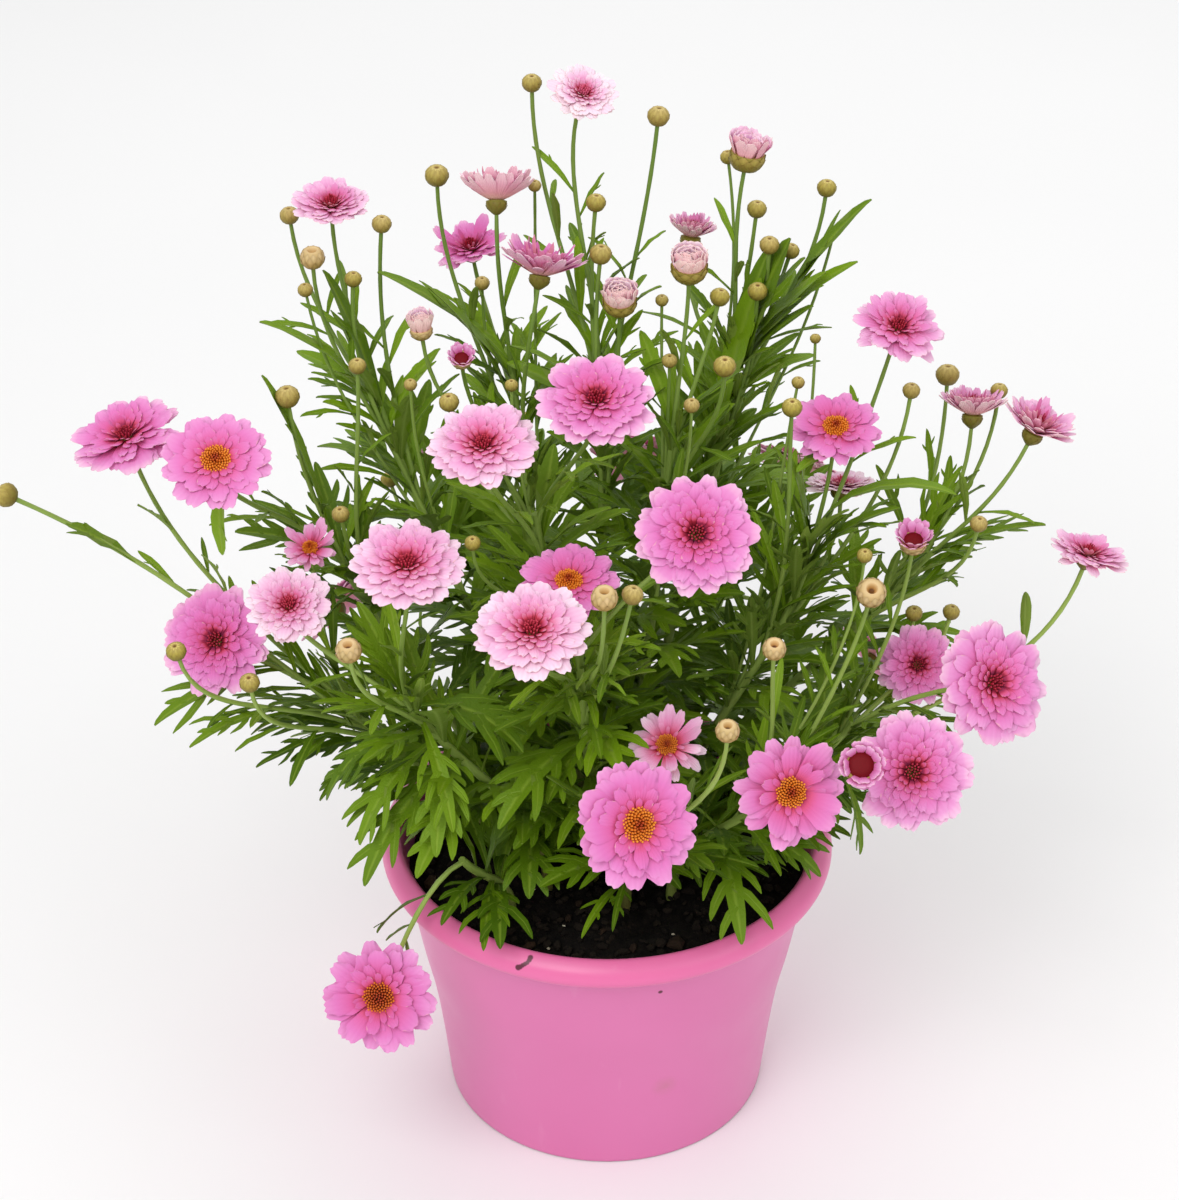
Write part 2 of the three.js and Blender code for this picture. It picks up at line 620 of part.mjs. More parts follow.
// The points of a leaf that are tested for clearance
function leafProbes(leaf) {
  const probes = [];
  for (const share of PROBE_SHARES) {
    probes.push(leafPoint(leaf, share, 0, 0));
    if (share < LOBED_FROM || share > LOBED_TO) continue;
    for (const across of PROBE_SIDES) {
      probes.push(leafPoint(leaf, share, across * leaf.length, 0));
      probes.push(leafPoint(leaf, share, -across * leaf.length, 0));
    }
  }
  return probes;
}

function clearOfPot([x, y, z]) {
  const radius = Math.hypot(x, y);
  if (z > RIM_TOP_Z + 5) return true;
  if (radius > LIP_RADIUS + 4) return true;
  return radius < BODY_TOP_RADIUS - WALL - 3 && z > soilHeight(x, y) + 4;
}

function clearOfRest([x, y, z], owner, index) {
  const near = index === 0 ? 0.5 : BLADE_MARGIN;
  for (const [bx, by, bz, radius, other] of balls) {
    if (other === owner && index < 3) continue;
    const reach = radius + near;
    const gap = (x - bx) * (x - bx) + (y - by) * (y - by) + (z - bz) * (z - bz);
    if (gap < reach * reach) return false;
  }
  for (const [cx, cy, cz, nx, ny, nz, radius] of discs) {
    const height = (x - cx) * nx + (y - cy) * ny + (z - cz) * nz;
    if (Math.abs(height) > radius * 0.35 + 5) continue;
    const square = (x - cx) * (x - cx) + (y - cy) * (y - cy) + (z - cz) * (z - cz);
    if (square < (radius + 3) * (radius + 3)) return false;
  }
  return true;
}

// A leaf from a place on a stem or stalk to a chosen tip
function leafTo([, host, , x, y, z, bend], base) {
  const inset = host === 0 ? STEM_INSET : 0;
  const flat = Math.hypot(x - base.x, y - base.y) - inset;
  const half = THREE.MathUtils.degToRad(bend) / 2;
  const slant = Math.atan2(z - base.z, flat);
  return {
    base,
    inset,
    heading: Math.atan2(y - base.y, x - base.x),
    rise: slant + half,
    fall: slant - half,
    length: (Math.hypot(flat, z - base.z) * half) / Math.sin(half),
  };
}

// The chosen leaves of a shoot
function keyLeavesOf(name) {
  const own = stalks.filter(({ shoot }) => shoot === name);
  return KEY_LEAVES.filter((row) => row[0] === name).map((row) => {
    const [, host, share] = row;
    const curve = host === 0 ? stems.get(name) : own[host - 1].curve;
    return leafTo(row, alongRod(curve, share));
  });
}

function keepClearOf(leaf, owner) {
  for (const [x, y, z] of leafProbes(leaf)) balls.push([x, y, z, BLADE_MARGIN, owner]);
}

// Leaves stand round a shoot by the golden angle and take the first free way near their own
function leavesOf(shoot, stem, number) {
  const count = shoot[6];
  const leaves = [];
  for (let k = 0; k < count; k++) {
    const share = LEAF_START + ((LEAF_END - LEAF_START) * (k + 0.5)) / count;
    const length = LEAF_LENGTH * (1.05 - 0.2 * share) * (0.85 + 0.3 * draw(k, number));
    for (let attempt = 0; attempt < LEAF_TRIES; attempt++) {
      const leaf = {
        base: alongRod(stem, share),
        inset: STEM_INSET,
        heading: GOLDEN_ANGLE * (k + 3 * number) + TRY_TURN * attempt,
        rise: LEAF_RISE - TRY_LOWER * attempt,
        fall: -0.5 + 1.1 * share + 0.3 * draw(k, number + 20),
        length: length * (1 - TRY_SHORTER * attempt),
      };
      const probes = leafProbes(leaf);
      const free = probes.every((probe, i) => clearOfPot(probe) && clearOfRest(probe, shoot[0], i));
      if (!free) continue;
      leaves.push(leaf);
      keepClearOf(leaf, shoot[0]);
      break;
    }
  }
  return leaves;
}

// The curves of every shoot first, since leaves have to find their way between them
const stems = new Map();
const stalks = [];
for (const shoot of SHOOTS) {
  const stem = stemCurve(shoot);
  stems.set(shoot[0], stem);
  addBalls(stem, STEM_RADIUS, shoot[0], 0);
}
const branchesOf = new Map();
for (const [kind, shoot, x, y, z, around, down, width, steepness] of HEADS) {
  const facing = direction(around, down);
  const middle = new THREE.Vector3(x, y, z);
  const isRound = kind === "bud" || isHalfOpen(kind);
  const seat = isRound ? BUD_FOOT * width : -BLOOM_DEPTH - SEAT_GAP - CALYX_HEIGHT;
  const end = middle.clone().addScaledVector(facing, seat);
  const order = branchesOf.get(shoot) ?? 0;
  branchesOf.set(shoot, order + 1);
  const share = Math.max(LOWEST_BRANCH, HIGHEST_BRANCH - BRANCH_SPACING * order);
  const curve = stalkCurve(stems.get(shoot), share, end, facing);
  stalks.push({ kind, shoot, middle, facing, width, steepness, curve });
  addBalls(curve, STALK_RADIUS, shoot, 0.05);
  discs.push([x, y, z, facing.x, facing.y, facing.z, width / 2]);
}

const keyLeaves = new Map(SHOOTS.map(([name]) => [name, keyLeavesOf(name)]));
for (const [name, leaves] of keyLeaves) leaves.forEach((leaf) => keepClearOf(leaf, name));

const daisy = new THREE.Group();
daisy.add(meshFrom("pot", makePot(), COLOURS.pot, 0.4));
daisy.add(meshFrom("soil", makeSoil(), COLOURS.soil, 0.95));

SHOOTS.forEach((shoot, number) => {
  const [name] = shoot;
  const stem = stems.get(name);
  const own = stalks.filter((stalk) => stalk.shoot === name);
  const leaves = [...keyLeaves.get(name), ...leavesOf(shoot, stem, number)];
  const pieces = [makeStem(stem), ...own.map(makeStalk), ...leaves.map(makeLeaf)];
  daisy.add(meshFrom(name, joined(pieces), COLOURS.leaf, 0.6));
});

stalks.forEach(({ kind, middle, facing, width, steepness }, index) => {
  if (kind === "bud") return;
  const layers = isHalfOpen(kind)
    ? makeHalfOpen(width, steepness)
    : makeBloom(width, steepness, index);
  const solids = layers.map((layer) => solidFrom(placed(layer, facing, middle)));
  const colour = PALE_BLOOMS.includes(kind) ? COLOURS.pale : COLOURS.petal;
  daisy.add(meshFrom(kind, joined(solids), colour, 0.7));
});

export default daisy;
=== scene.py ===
# A double pink marguerite daisy in its plastic pot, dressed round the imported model.
# Tables hold millimetres in the part's frame, and each piece is made in metres.
import itertools
import json
import math

import bpy
from mathutils import Matrix, Quaternion, Vector, noise


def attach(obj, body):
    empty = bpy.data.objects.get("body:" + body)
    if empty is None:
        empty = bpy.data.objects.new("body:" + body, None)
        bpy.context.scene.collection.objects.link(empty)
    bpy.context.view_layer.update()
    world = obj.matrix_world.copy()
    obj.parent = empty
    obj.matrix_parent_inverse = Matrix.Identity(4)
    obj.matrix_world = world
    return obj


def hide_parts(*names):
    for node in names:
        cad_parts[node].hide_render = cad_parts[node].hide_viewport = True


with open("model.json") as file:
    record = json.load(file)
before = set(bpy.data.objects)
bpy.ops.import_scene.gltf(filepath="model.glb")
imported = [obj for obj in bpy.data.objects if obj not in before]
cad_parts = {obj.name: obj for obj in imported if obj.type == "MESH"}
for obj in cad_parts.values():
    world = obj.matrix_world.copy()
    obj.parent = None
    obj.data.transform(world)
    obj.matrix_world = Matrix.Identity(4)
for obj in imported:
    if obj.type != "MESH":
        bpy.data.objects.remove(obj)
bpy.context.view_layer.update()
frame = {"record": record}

MM = 0.001
UP = Vector((0, 0, 1))
NO_SHADE = (0, 0, 0, 0)
GOLDEN_ANGLE = 2.39996
NODE_SLOTS = {row["node"]: row["material_slot"] for row in frame["record"]["subparts"]}

# Camera: the photograph looks down at the plant from the front
CAMERA_PLACE = (-7.7, -1174.0, 1025.0)
CAMERA_DOWN = 33.3
FOCAL_PIXELS = 3313.0
FRAME_HEIGHT = 1200.0
SENSOR = 36.0

# Lights: name, place and size in metres, and power in watts
LIGHTS = (
    ("key_light", (-0.7, -1.4, 1.9), 1.2, 22),
    ("fill_light", (1.3, -0.9, 1.3), 1.4, 5),
    ("back_light", (0.3, 1.4, 1.7), 1.2, 8),
)
LIT_PLACE = (0, 0, 0.25)
AIR_STRENGTH = 0.72
FLOOR_LIGHTS = ((0.88, 0.88, 0.88, 1), (0.91, 0.91, 0.91, 1))

# Pot
POT_SIDES = 160
LIP_RADIUS = 100.0
LIP_Z = 126.0
RIM_TOP_RADIUS = 94.0
RIM_TOP_Z = 134.0
BODY_TOP_RADIUS = 91.0
BODY_TOP_Z = 118.0
BODY_MIDDLE_RADIUS = 79.0
BODY_MIDDLE_Z = 57.0
BASE_RADIUS = 72.0
BASE_EDGE = 1.5
WALL = 2.5
DRAIN_HOLES = 4
DRAIN_RADIUS = 4.5
DRAIN_CIRCLE = 45.0

# Marks on the pot that the photograph shows: a faint smudge, a dark scratch and a dark dot
SMUDGE_PLACE = (25.5, -73.0, 46.0)
POT_MARKS = (
    ((-37.8, -91.8, 128.8), 1.5), ((-36.8, -91.8, 129.2), 1.3), ((-35.8, -91.7, 129.9), 1.2),
    ((-34.8, -91.6, 130.5), 1.2), ((-33.8, -91.4, 131.0), 1.2), ((-33.0, -90.8, 131.9), 1.3),
    ((-32.6, -90.2, 132.9), 1.4), ((22.5, -87.0, 111.3), 1.2),
)

# Soil
SOIL_EDGE_Z = 116.0
SOIL_MOUND = 4.0
MOUND_RADIUS = 88.0
SOIL_GAP = 0.3
SOIL_EDGE_RADIUS = 87.6
SOIL_SIDES = 120
SOIL_RINGS = 44

# Stems and stalks
STEM_RADIUS = 2.4
STEM_TIP_RADIUS = 1.7
STALK_RADIUS = 1.2
STALK_TIP_RADIUS = 1.0
THIN_STALK = 0.75
SMALL_BUD = 8
STALK_START = 0.05
TUBE_STEP = 7
STEM_STEPS = 5
STEM_DEPTH = 12.0
STEM_RISE = 0.4
STEM_LEAN = 0.65
SHORT_STALK = 115.0
STALK_REACH = 0.38
BRANCH_SPACING = 0.08
HIGHEST_BRANCH = 0.97
LOWEST_BRANCH = 0.45

# Heads: a bud's foot is a share of its width
BLOOM_DEPTH = 3.0
SEAT_GAP = 0.3
CALYX_HEIGHT = 5.0
CALYX_RADIUS = 4.4
CALYX_SHARE = 0.2
CUP_FOOT = -BLOOM_DEPTH - SEAT_GAP - CALYX_HEIGHT
BUD_FOOT = -0.42
PETAL_THICKNESS = 0.28

# Leaves that the part has as solids
LEAF_LENGTH = 60.0
STRAP_LEAF_Z = 270.0
LEAF_THICKNESS = 0.5
LEAF_RISE = 1.05
LEAF_FOLD = 0.25
LEAF_START = 0.12
LEAF_END = 0.92
STEM_INSET = 0.85
LEAF_TRIES = 16
TRY_TURN = 0.45
TRY_LOWER = 0.04
TRY_SHORTER = 0.02
PROBE_SHARES = (0.2, 0.32, 0.44, 0.56, 0.68, 0.8, 0.9, 1.0)
PROBE_SIDES = (0.075, 0.15)
LOBED_FROM = 0.4
LOBED_TO = 0.85

# Leaves that only the looks need: how closely they stand along a stem and a stalk, and their sizes
STEM_LEAF_SPACING = 5.2
STALK_LEAF_SPACING = 11.0
STALK_LEAF_LENGTH = 36.0
LOOK_INSET = 0.4
LOOK_TRIES = 5
LOOK_TRY_TURN = 1.1
LOOK_PROBES = ((0.35, 0.0), (0.6, 0.1), (0.6, -0.1), (0.8, 0.0), (1.0, 0.0))

# Height at which a leaf starts to look young and lit, and how much higher it looks wholly so; lower leaves
# are darker, partly for age and partly as painted shade
YOUNG_AND_LIT_FROM = 150
YOUNG_AND_LIT_OVER = 170

# Room that a leaf leaves round other blades, the pot, the soil and the heads
BLADE_MARGIN = 2.6
BASE_MARGIN = 0.5
OWN_PROBES = 3
BALL_SPACING = 4.0
OVER_RIM = 5
BESIDE_LIP = 4
INSIDE_WALL = 3
OVER_SOIL = 4
HEAD_MARGIN = 3
HEAD_HALF_DEPTH = 5
HEAD_DEPTH_SHARE = 0.35
SHOWN_SHARE = 0.9

# Each shoot: its foot on the soil (x, y), its top (x, y, z) and how many solid leaves it has
SHOOTS = {
    "shoot_top": (0, 25, -3, 72, 330, 3), "shoot_crown_left": (-18, 30, -42, 88, 320, 3),
    "shoot_high_left": (-34, 24, -100, 75, 310, 3), "shoot_crown_right": (18, 30, 55, 88, 325, 3),
    "shoot_middle_right": (12, 8, 28, 50, 310, 4), "shoot_right": (32, 12, 82, 20, 245, 4),
    "shoot_far_right": (47, 30, 140, 42, 252, 3), "shoot_low_right": (46, -12, 106, -8, 195, 4),
    "shoot_front_right": (28, -30, 80, -60, 205, 3), "shoot_front": (8, -40, 15, -75, 185, 4),
    "shoot_front_middle": (-6, -18, -12, -55, 265, 4), "shoot_middle": (-10, 6, -30, -5, 300, 4),
    "shoot_front_left": (-26, -26, -85, -50, 240, 2), "shoot_low_left": (-46, -10, -115, -5, 205, 3),
    "shoot_left": (-50, 12, -116, 30, 258, 3), "shoot_rim_left": (-42, -38, -62, -58, 160, 1),
    "shoot_back_left": (-24, 50, -60, 110, 210, 4), "shoot_back_right": (26, 50, 60, 110, 210, 3),
}

# Each head by its shoot: its node or kind, its middle (x, y, z), the way it faces (degrees round
# from +X, then degrees down from straight up), its width and how steeply a bloom's petals stand
HEADS = {
    "shoot_top": (
        ("bloom_01", -10, 95, 445, -60, 25, 32, 0.2), ("bud", -32, 112, 441, -90, 5, 9),
        ("bud", 21, 90, 436, 0, 5, 10), ("bud", -5, 80, 401, 0, 5, 9), ("bud", -3, 68, 383, 0, 5, 10),
        ("head_01", 5, 58, 366, -90, 15, 15),
    ),
    "shoot_crown_left": (
        ("bloom_02", -47, 90, 400, 90, 32, 32, 1.1), ("bloom_03", -60, 130, 355, -130, 12, 34, 0.35),
        ("bloom_04", -28, 66, 377, 70, 28, 38, 0.75), ("bud", -73, 110, 399, -90, 5, 11),
        ("bud", -79, 62, 350, 180, 5, 10), ("bud", -62, 58, 338, -90, 30, 9),
    ),
    "shoot_high_left": (
        ("bloom_05", -118, 100, 391, -90, 8, 35, 0.3), ("bud", -137, 110, 380, 180, 5, 9),
        ("bud", -125, 78, 376, -90, 5, 11), ("bud", -96, 90, 386, 0, 5, 9), ("bud", -108, 76, 367, 0, 5, 8),
    ),
    "shoot_crown_right": (
        ("head_02", 59, 100, 413, 20, 10, 16), ("bloom_06", 37, 125, 365, 60, 15, 22, 1.1),
        ("bud", 94, 110, 393, 0, 5, 9), ("bud", 64, 104, 386, 0, 5, 9), ("bud", 79, 100, 368, 0, 15, 8),
        ("bud", 64, 80, 359, -90, 10, 9),
    ),
    "shoot_middle_right": (
        ("head_03", 34, 60, 381, -90, 10, 16), ("bud", 47, 58, 368, 0, 10, 9),
        ("bud", 48, 20, 356, -90, 10, 10),
    ),
    "shoot_right": (
        ("bloom_07", 120, 30, 370, -70, 22, 41, 0.15), ("bloom_08", 95, 20, 328, -90, 20, 41, 0.1),
        ("bloom_09", 101, 50, 282, 90, 15, 33, 0.2), ("bud", 75, 0, 348, -90, 10, 9),
        ("bud", 128, 42, 332, 0, 5, 8),
    ),
    "shoot_far_right": (
        ("bloom_10", 157, 60, 313, 80, 20, 30, 0.9), ("bloom_11", 181, 34, 319, 20, 25, 34, 0.7),
        ("bud", 148, 84, 316, 90, 5, 11), ("bud", 156, 8, 287, -60, 10, 8),
    ),
    "shoot_low_right": (
        ("bloom_13", 160, -50, 246, -58, 55, 55, 0.05), ("bloom_14", 134, 4, 218, -90, 50, 38, 0.1),
        ("bud", 128, 0, 283, -90, 20, 12), ("bud", 134, 32, 226, -90, 10, 8),
        ("bud", 150, 30, 228, 0, 10, 8), ("bloom_12", 204, 10, 272, 20, 16, 36, 0.2),
    ),
    "shoot_front_right": (
        ("bloom_15", 124, -85, 226, -90, 52, 52, 0.05), ("bloom_16", 73, -110, 234, -75, 60, 48, 0.05),
        ("head_04", 100, -112, 249, -90, 50, 15), ("bud", 107, -45, 287, -90, 35, 13),
        ("bud", 66, -80, 283, -90, 20, 10),
    ),
    "shoot_front": (
        ("bloom_17", 12, -130, 233, -65, 58, 54, 0.05), ("bloom_18", 24, -74, 232, -90, 35, 34, 0.2),
        ("bud", 46, -125, 275, -90, 15, 10),
    ),
    "shoot_front_middle": (
        ("bloom_19", 35, -60, 325, -85, 48, 52, 0.08), ("bloom_20", -16, -55, 300, -90, 15, 43, 0.1),
        ("bloom_21", -30, -105, 310, -90, 20, 49, 0.1), ("bud", -2, -110, 327, -90, 10, 11),
        ("bud", 9, -100, 322, 0, 10, 9),
    ),
    "shoot_middle": (
        ("bloom_22", -5, -30, 370, -90, 20, 50, 0.1), ("bloom_23", -50, -40, 355, -95, 18, 47, 0.1),
        ("bud", -66, 20, 339, -120, 10, 9),
    ),
    "shoot_front_left": (
        ("bloom_24", -80, -70, 318, -90, 15, 49, 0.1), ("bloom_25", -130, -50, 285, -90, 30, 37, 0.15),
        ("bud", -103, -90, 289, -100, 15, 11),
    ),
    "shoot_low_left": (
        ("bloom_26", -165, -20, 247, -105, 48, 50, 0.05), ("bloom_27", -124, -10, 287, -90, 25, 24, 0.3),
        ("bud", -176, -58, 267, -120, 15, 9), ("bud", -146, -66, 257, -100, 15, 9),
        ("bud", -250, 0, 306, 180, 62, 11), ("bloom_28", -200, 10, 330, -135, 14, 50, 0.1),
    ),
    "shoot_left": (
        ("bloom_29", -159, -22, 337, -90, 30, 47, 0.05), ("bud", -134, 30, 336, 180, 5, 11),
        ("bud", -105, 40, 345, -90, 5, 8),
    ),
    "shoot_rim_left": (("bloom_30", -97, -95, 115, -95, 60, 51, 0.08),),
    "shoot_back_left": (
        ("bloom_31", -75, 150, 240, 110, 50, 48, 0.1), ("bloom_32", -128, 112, 178, 140, 65, 46, 0.08),
        ("bud", -38, 132, 265, 100, 15, 10), ("bud", -100, 135, 232, 130, 25, 9),
    ),
    "shoot_back_right": (
        ("bloom_33", 15, 162, 228, 90, 55, 50, 0.1), ("bloom_34", 88, 142, 238, 65, 45, 46, 0.1),
        ("bloom_35", 128, 108, 152, 40, 65, 44, 0.08), ("bud", 52, 140, 268, 80, 10, 10),
    ),
}

# Small buds that are too slim for solids: their shoot, then what a head's row says of a bud
SMALL_BUDS = (
    ("shoot_crown_left", -31, 100, 399, -90, 5, 6), ("shoot_crown_left", -54, 95, 355, -90, 5, 7),
    ("shoot_middle_right", 23, 70, 360, -90, 5, 6), ("shoot_middle_right", 26, 48, 343, -90, 8, 7),
    ("shoot_crown_right", 69, 90, 376, -90, 5, 9), ("shoot_crown_right", 51, 105, 410, 180, 8, 7),
    ("shoot_crown_right", 98, 110, 372, 0, 10, 5), ("shoot_high_left", -128, 70, 365, 180, 8, 7),
    ("shoot_high_left", -83, 40, 336, -90, 8, 6), ("shoot_middle", -40, 20, 347, -90, 5, 6),
    ("shoot_middle_right", 34, 0, 349, -90, 8, 7), ("shoot_middle", -55, -42, 309, -90, 15, 7),
    ("shoot_left", -112, 6, 293, -120, 12, 8), ("shoot_right", 88, 60, 347, 90, 8, 5),
    ("shoot_right", 80, 40, 337, 0, 8, 6), ("shoot_front_right", 106, -20, 289, -90, 15, 7),
    ("shoot_far_right", 169, 70, 316, 60, 8, 8),
)

# Buds that have begun to open, by their middles: a hole in pale bracts, a hole in pink petals, or
# a pale tuft
HOLLOW, PINK_HOLLOW, TUFT = 1, 2, 3
OPENING_BUDS = {
    (107, -45, 287): HOLLOW, (-103, -90, 289): HOLLOW, (66, -80, 283): HOLLOW, (46, -125, 275): HOLLOW,
    (-2, -110, 327): HOLLOW, (-125, 78, 376): HOLLOW, (128, 0, 283): PINK_HOLLOW,
    (-62, 58, 338): PINK_HOLLOW, (-79, 62, 350): TUFT,
}

# Leaves whose places show most, by their shoot: what bears them (0 is the stem, 1 the stalk of its
# first head), how far along it, their tip (x, y, z) and how far they bend down, in degrees
KEY_LEAVES = {
    "shoot_low_left": ((1, 0.45, -192, -30, 210, 50), (3, 0.4, -175, -50, 213, 40)),
    "shoot_front_left": (
        (0, 0.9, -118, -60, 193, 60), (0, 0.55, -79, -95, 179, 60), (0, 0.7, -102, -80, 163, 60),
    ),
    "shoot_front_right": ((1, 0.35, 106, -70, 172, 30), (0, 0.5, 56, -94, 143, 60)),
    "shoot_low_right": ((6, 0.72, 177, 0, 258, 30),),
    "shoot_rim_left": ((0, 0.6, -70, -85, 146, 60), (0, 0.4, -45, -98, 144, 60)),
    "shoot_right": ((1, 0.55, 78, 0, 317, 40),),
    "shoot_high_left": ((0, 0.98, -147, 60, 355, 40), (0, 0.95, -121, 80, 369, 20)),
    "shoot_left": ((2, 0.35, -144, 30, 346, 15),),
    "shoot_crown_left": ((0, 0.97, -98, 82, 367, 40), (0, 0.9, -76, 76, 363, 30)),
    "shoot_crown_right": ((3, 0.5, 113, 105, 390, 30), (0, 0.95, 107, 90, 368, 40)),
    "shoot_far_right": ((0, 0.97, 186, 20, 279, 30),),
}

# Leaves of the same kind that only the looks need, with their breadth as a share of the usual
LOOK_LEAVES = {
    "shoot_front_left": (
        (0, 0.75, -71, -90, 186, 60, 1.3), (0, 0.9, -64, -85, 195, 60, 1.1),
        (0, 0.8, -104, -70, 177, 60, 1.3), (0, 0.65, -110, -60, 179, 60, 1.0),
        (0, 0.98, -108, -40, 262, 40, 1.6), (0, 0.99, -92, -42, 268, 30, 1.6),
        (0, 0.94, -35, -72, 226, 90, 1.8),
    ),
    "shoot_front_middle": ((0, 0.6, -45, -88, 199, 70, 1.3), (0, 0.5, -32, -80, 198, 60, 0.9)),
    "shoot_left": (
        (0, 0.8, -112, -24, 272, 40, 1.7), (0, 0.86, -96, -20, 286, 30, 1.6),
        (1, 0.92, -160, -15, 286, 15, 1.7),
    ),
    "shoot_rim_left": ((0, 0.5, -52, -98, 143, 50, 0.9),),
    "shoot_front": ((0, 0.2, -11, -86, 140, 60, 0.7), (0, 0.3, 2, -84, 142, 60, 0.7)),
    "shoot_crown_right": (
        (0, 0.9, 78, 92, 378, 15, 1.6), (0, 0.86, 66, 90, 360, 20, 1.6), (0, 0.94, 88, 80, 352, 30, 1.5),
        (0, 0.98, 93, 84, 366, 20, 1.4), (0, 0.99, 84, 86, 372, 15, 1.3), (0, 0.92, 70, 96, 372, 20, 1.2),
    ),
    "shoot_right": (
        (0, 0.96, 76, 20, 312, 40, 1.5), (2, 0.5, 146, 10, 300, 80, 1.0), (0, 0.98, 100, -2, 300, 50, 1.3),
        (0, 0.95, 122, 6, 296, 60, 1.2),
    ),
    "shoot_low_left": ((5, 0.74, -226, -2, 293, 15, 2.2), (6, 0.78, -196, 2, 300, 15, 1.6)),
    "shoot_back_left": ((0, 0.9, -85, 125, 262, 20, 1.6), (0, 0.8, -60, 130, 258, 20, 1.6)),
    "shoot_back_right": (
        (0, 0.95, 80, 118, 262, 20, 1.6), (0, 0.9, 102, 118, 250, 20, 1.6),
        (0, 0.85, 22, 130, 262, 20, 1.6), (0, 0.75, 2, 132, 250, 20, 1.6),
    ),
}

# Places, with a radius, that no leaf of the looks hides: the dark soil and the rim at the left
SHOWN_PLACES = (
    (-70, -3, 117, 9), (-47, -17, 117, 9), (-20, -38, 117, 12), (6, -50, 117, 12), (32, -52, 117, 12),
    (58, -50, 117, 10), (-87, -42, 134, 7), (-78, -58, 134, 7),
)

# Blooms that aren't the common kind, by their numbers: an orange disc, and a red one among them
ORANGE_BLOOMS = (8, 16, 17, 18, 20, 27, 29, 30, 33)
RED_DISCS = (30,)

# How far the petals of a bloom have paled, and how thin and loose its whorls are
PALE_BLOOMS = {
    1: 1.0, 2: 0.5, 5: 0.55, 6: 0.5, 7: 0.3, 9: 0.95, 10: 0.5, 11: 0.55, 12: 0.6, 18: 0.9, 21: 0.8,
    23: 0.65, 24: 0.65, 25: 0.85, 27: 0.6, 34: 0.5,
}
LOOSE_BLOOMS = {
    3: 0.5, 4: 0.35, 7: 0.45, 8: 0.3, 11: 0.2, 12: 0.3, 14: 0.2, 16: 0.55, 18: 1.4, 27: 1.0, 28: 0.3,
    30: 0.3, 33: 0.3,
}

# Whorls of a bloom from the outside in: petals, reach and half width as shares of the radius,
# how steeply a petal leaves the head and how steeply it ends in radians, columns and steps
DOUBLE_WHORLS = (
    (14, 1.0, 0.205, 0.06, -0.12, 7, 6),
    (14, 0.93, 0.19, 0.13, -0.04, 7, 6),
    (15, 0.81, 0.14, 0.2, 0.04, 5, 5),
    (16, 0.67, 0.105, 0.3, 0.12, 5, 4),
    (16, 0.53, 0.08, 0.42, 0.24, 3, 4),
    (14, 0.4, 0.062, 0.56, 0.38, 3, 3),
    (12, 0.28, 0.045, 0.75, 0.55, 3, 3),
)
SINGLE_WHORLS = (
    (15, 1.0, 0.205, 0.06, -0.1, 7, 6),
    (15, 0.91, 0.19, 0.15, -0.02, 7, 6),
    (15, 0.66, 0.11, 0.26, 0.08, 5, 4),
    (16, 0.45, 0.06, 0.4, 0.25, 3, 3),
)

# How far each column of a petal reaches, by the number of columns: a round tip with a small notch
PETAL_TIPS = {
    7: (0.8, 0.945, 0.99, 0.965, 1.0, 0.95, 0.82),
    5: (0.82, 0.985, 0.96, 1.0, 0.84),
    3: (0.86, 1.0, 0.86),
}


def mixed(first, second, share):
    return first + (second - first) * share


def clamped(value):
    return min(1.0, max(0.0, value))


def draw(index, seed):
    """A number from 0 to 1 that looks random but depends only on the two it is given."""
    value = math.sin(index * 12.9898 + seed * 78.233) * 4375.8545
    return value - math.floor(value)


def circle(count):
    """Angles spread evenly round a circle."""
    return [2 * math.pi * number / count for number in range(count)]


def polar(radius, angle, height=0.0):
    """A point at a distance and an angle round an upright axis."""
    return radius * math.cos(angle), radius * math.sin(angle), height


def direction(around, down):
    """A direction from degrees round from +X and degrees down from straight up."""
    tilt = math.radians(down)
    return Vector(polar(math.sin(tilt), math.radians(around), math.cos(tilt)))


def compass(heading):
    """The level directions ahead and to the left of a heading."""
    ahead = Vector(polar(1.0, heading))
    return ahead, Vector((-ahead.y, ahead.x, 0))


def bent(ahead, start, bend, share, length):
    """How far out and up a line comes that starts at an angle and bends evenly, and its normal."""
    angle = start + bend * share
    out = length * (math.sin(angle) - math.sin(start)) / bend
    up = length * (math.cos(start) - math.cos(angle)) / bend
    return out, up, Vector((-math.sin(angle) * ahead.x, -math.sin(angle) * ahead.y, math.cos(angle)))


def between(table, share):
    """The value at a share in a table of (share, value) rows."""
    for (s0, v0), (s1, v1) in zip(table, table[1:]):
        if share <= s1:
            return mixed(v0, v1, (share - s0) / (s1 - s0))
    return table[-1][1]


def soil_height(x, y):
    return SOIL_EDGE_Z + SOIL_MOUND * (1 - (x * x + y * y) / (MOUND_RADIUS * MOUND_RADIUS))


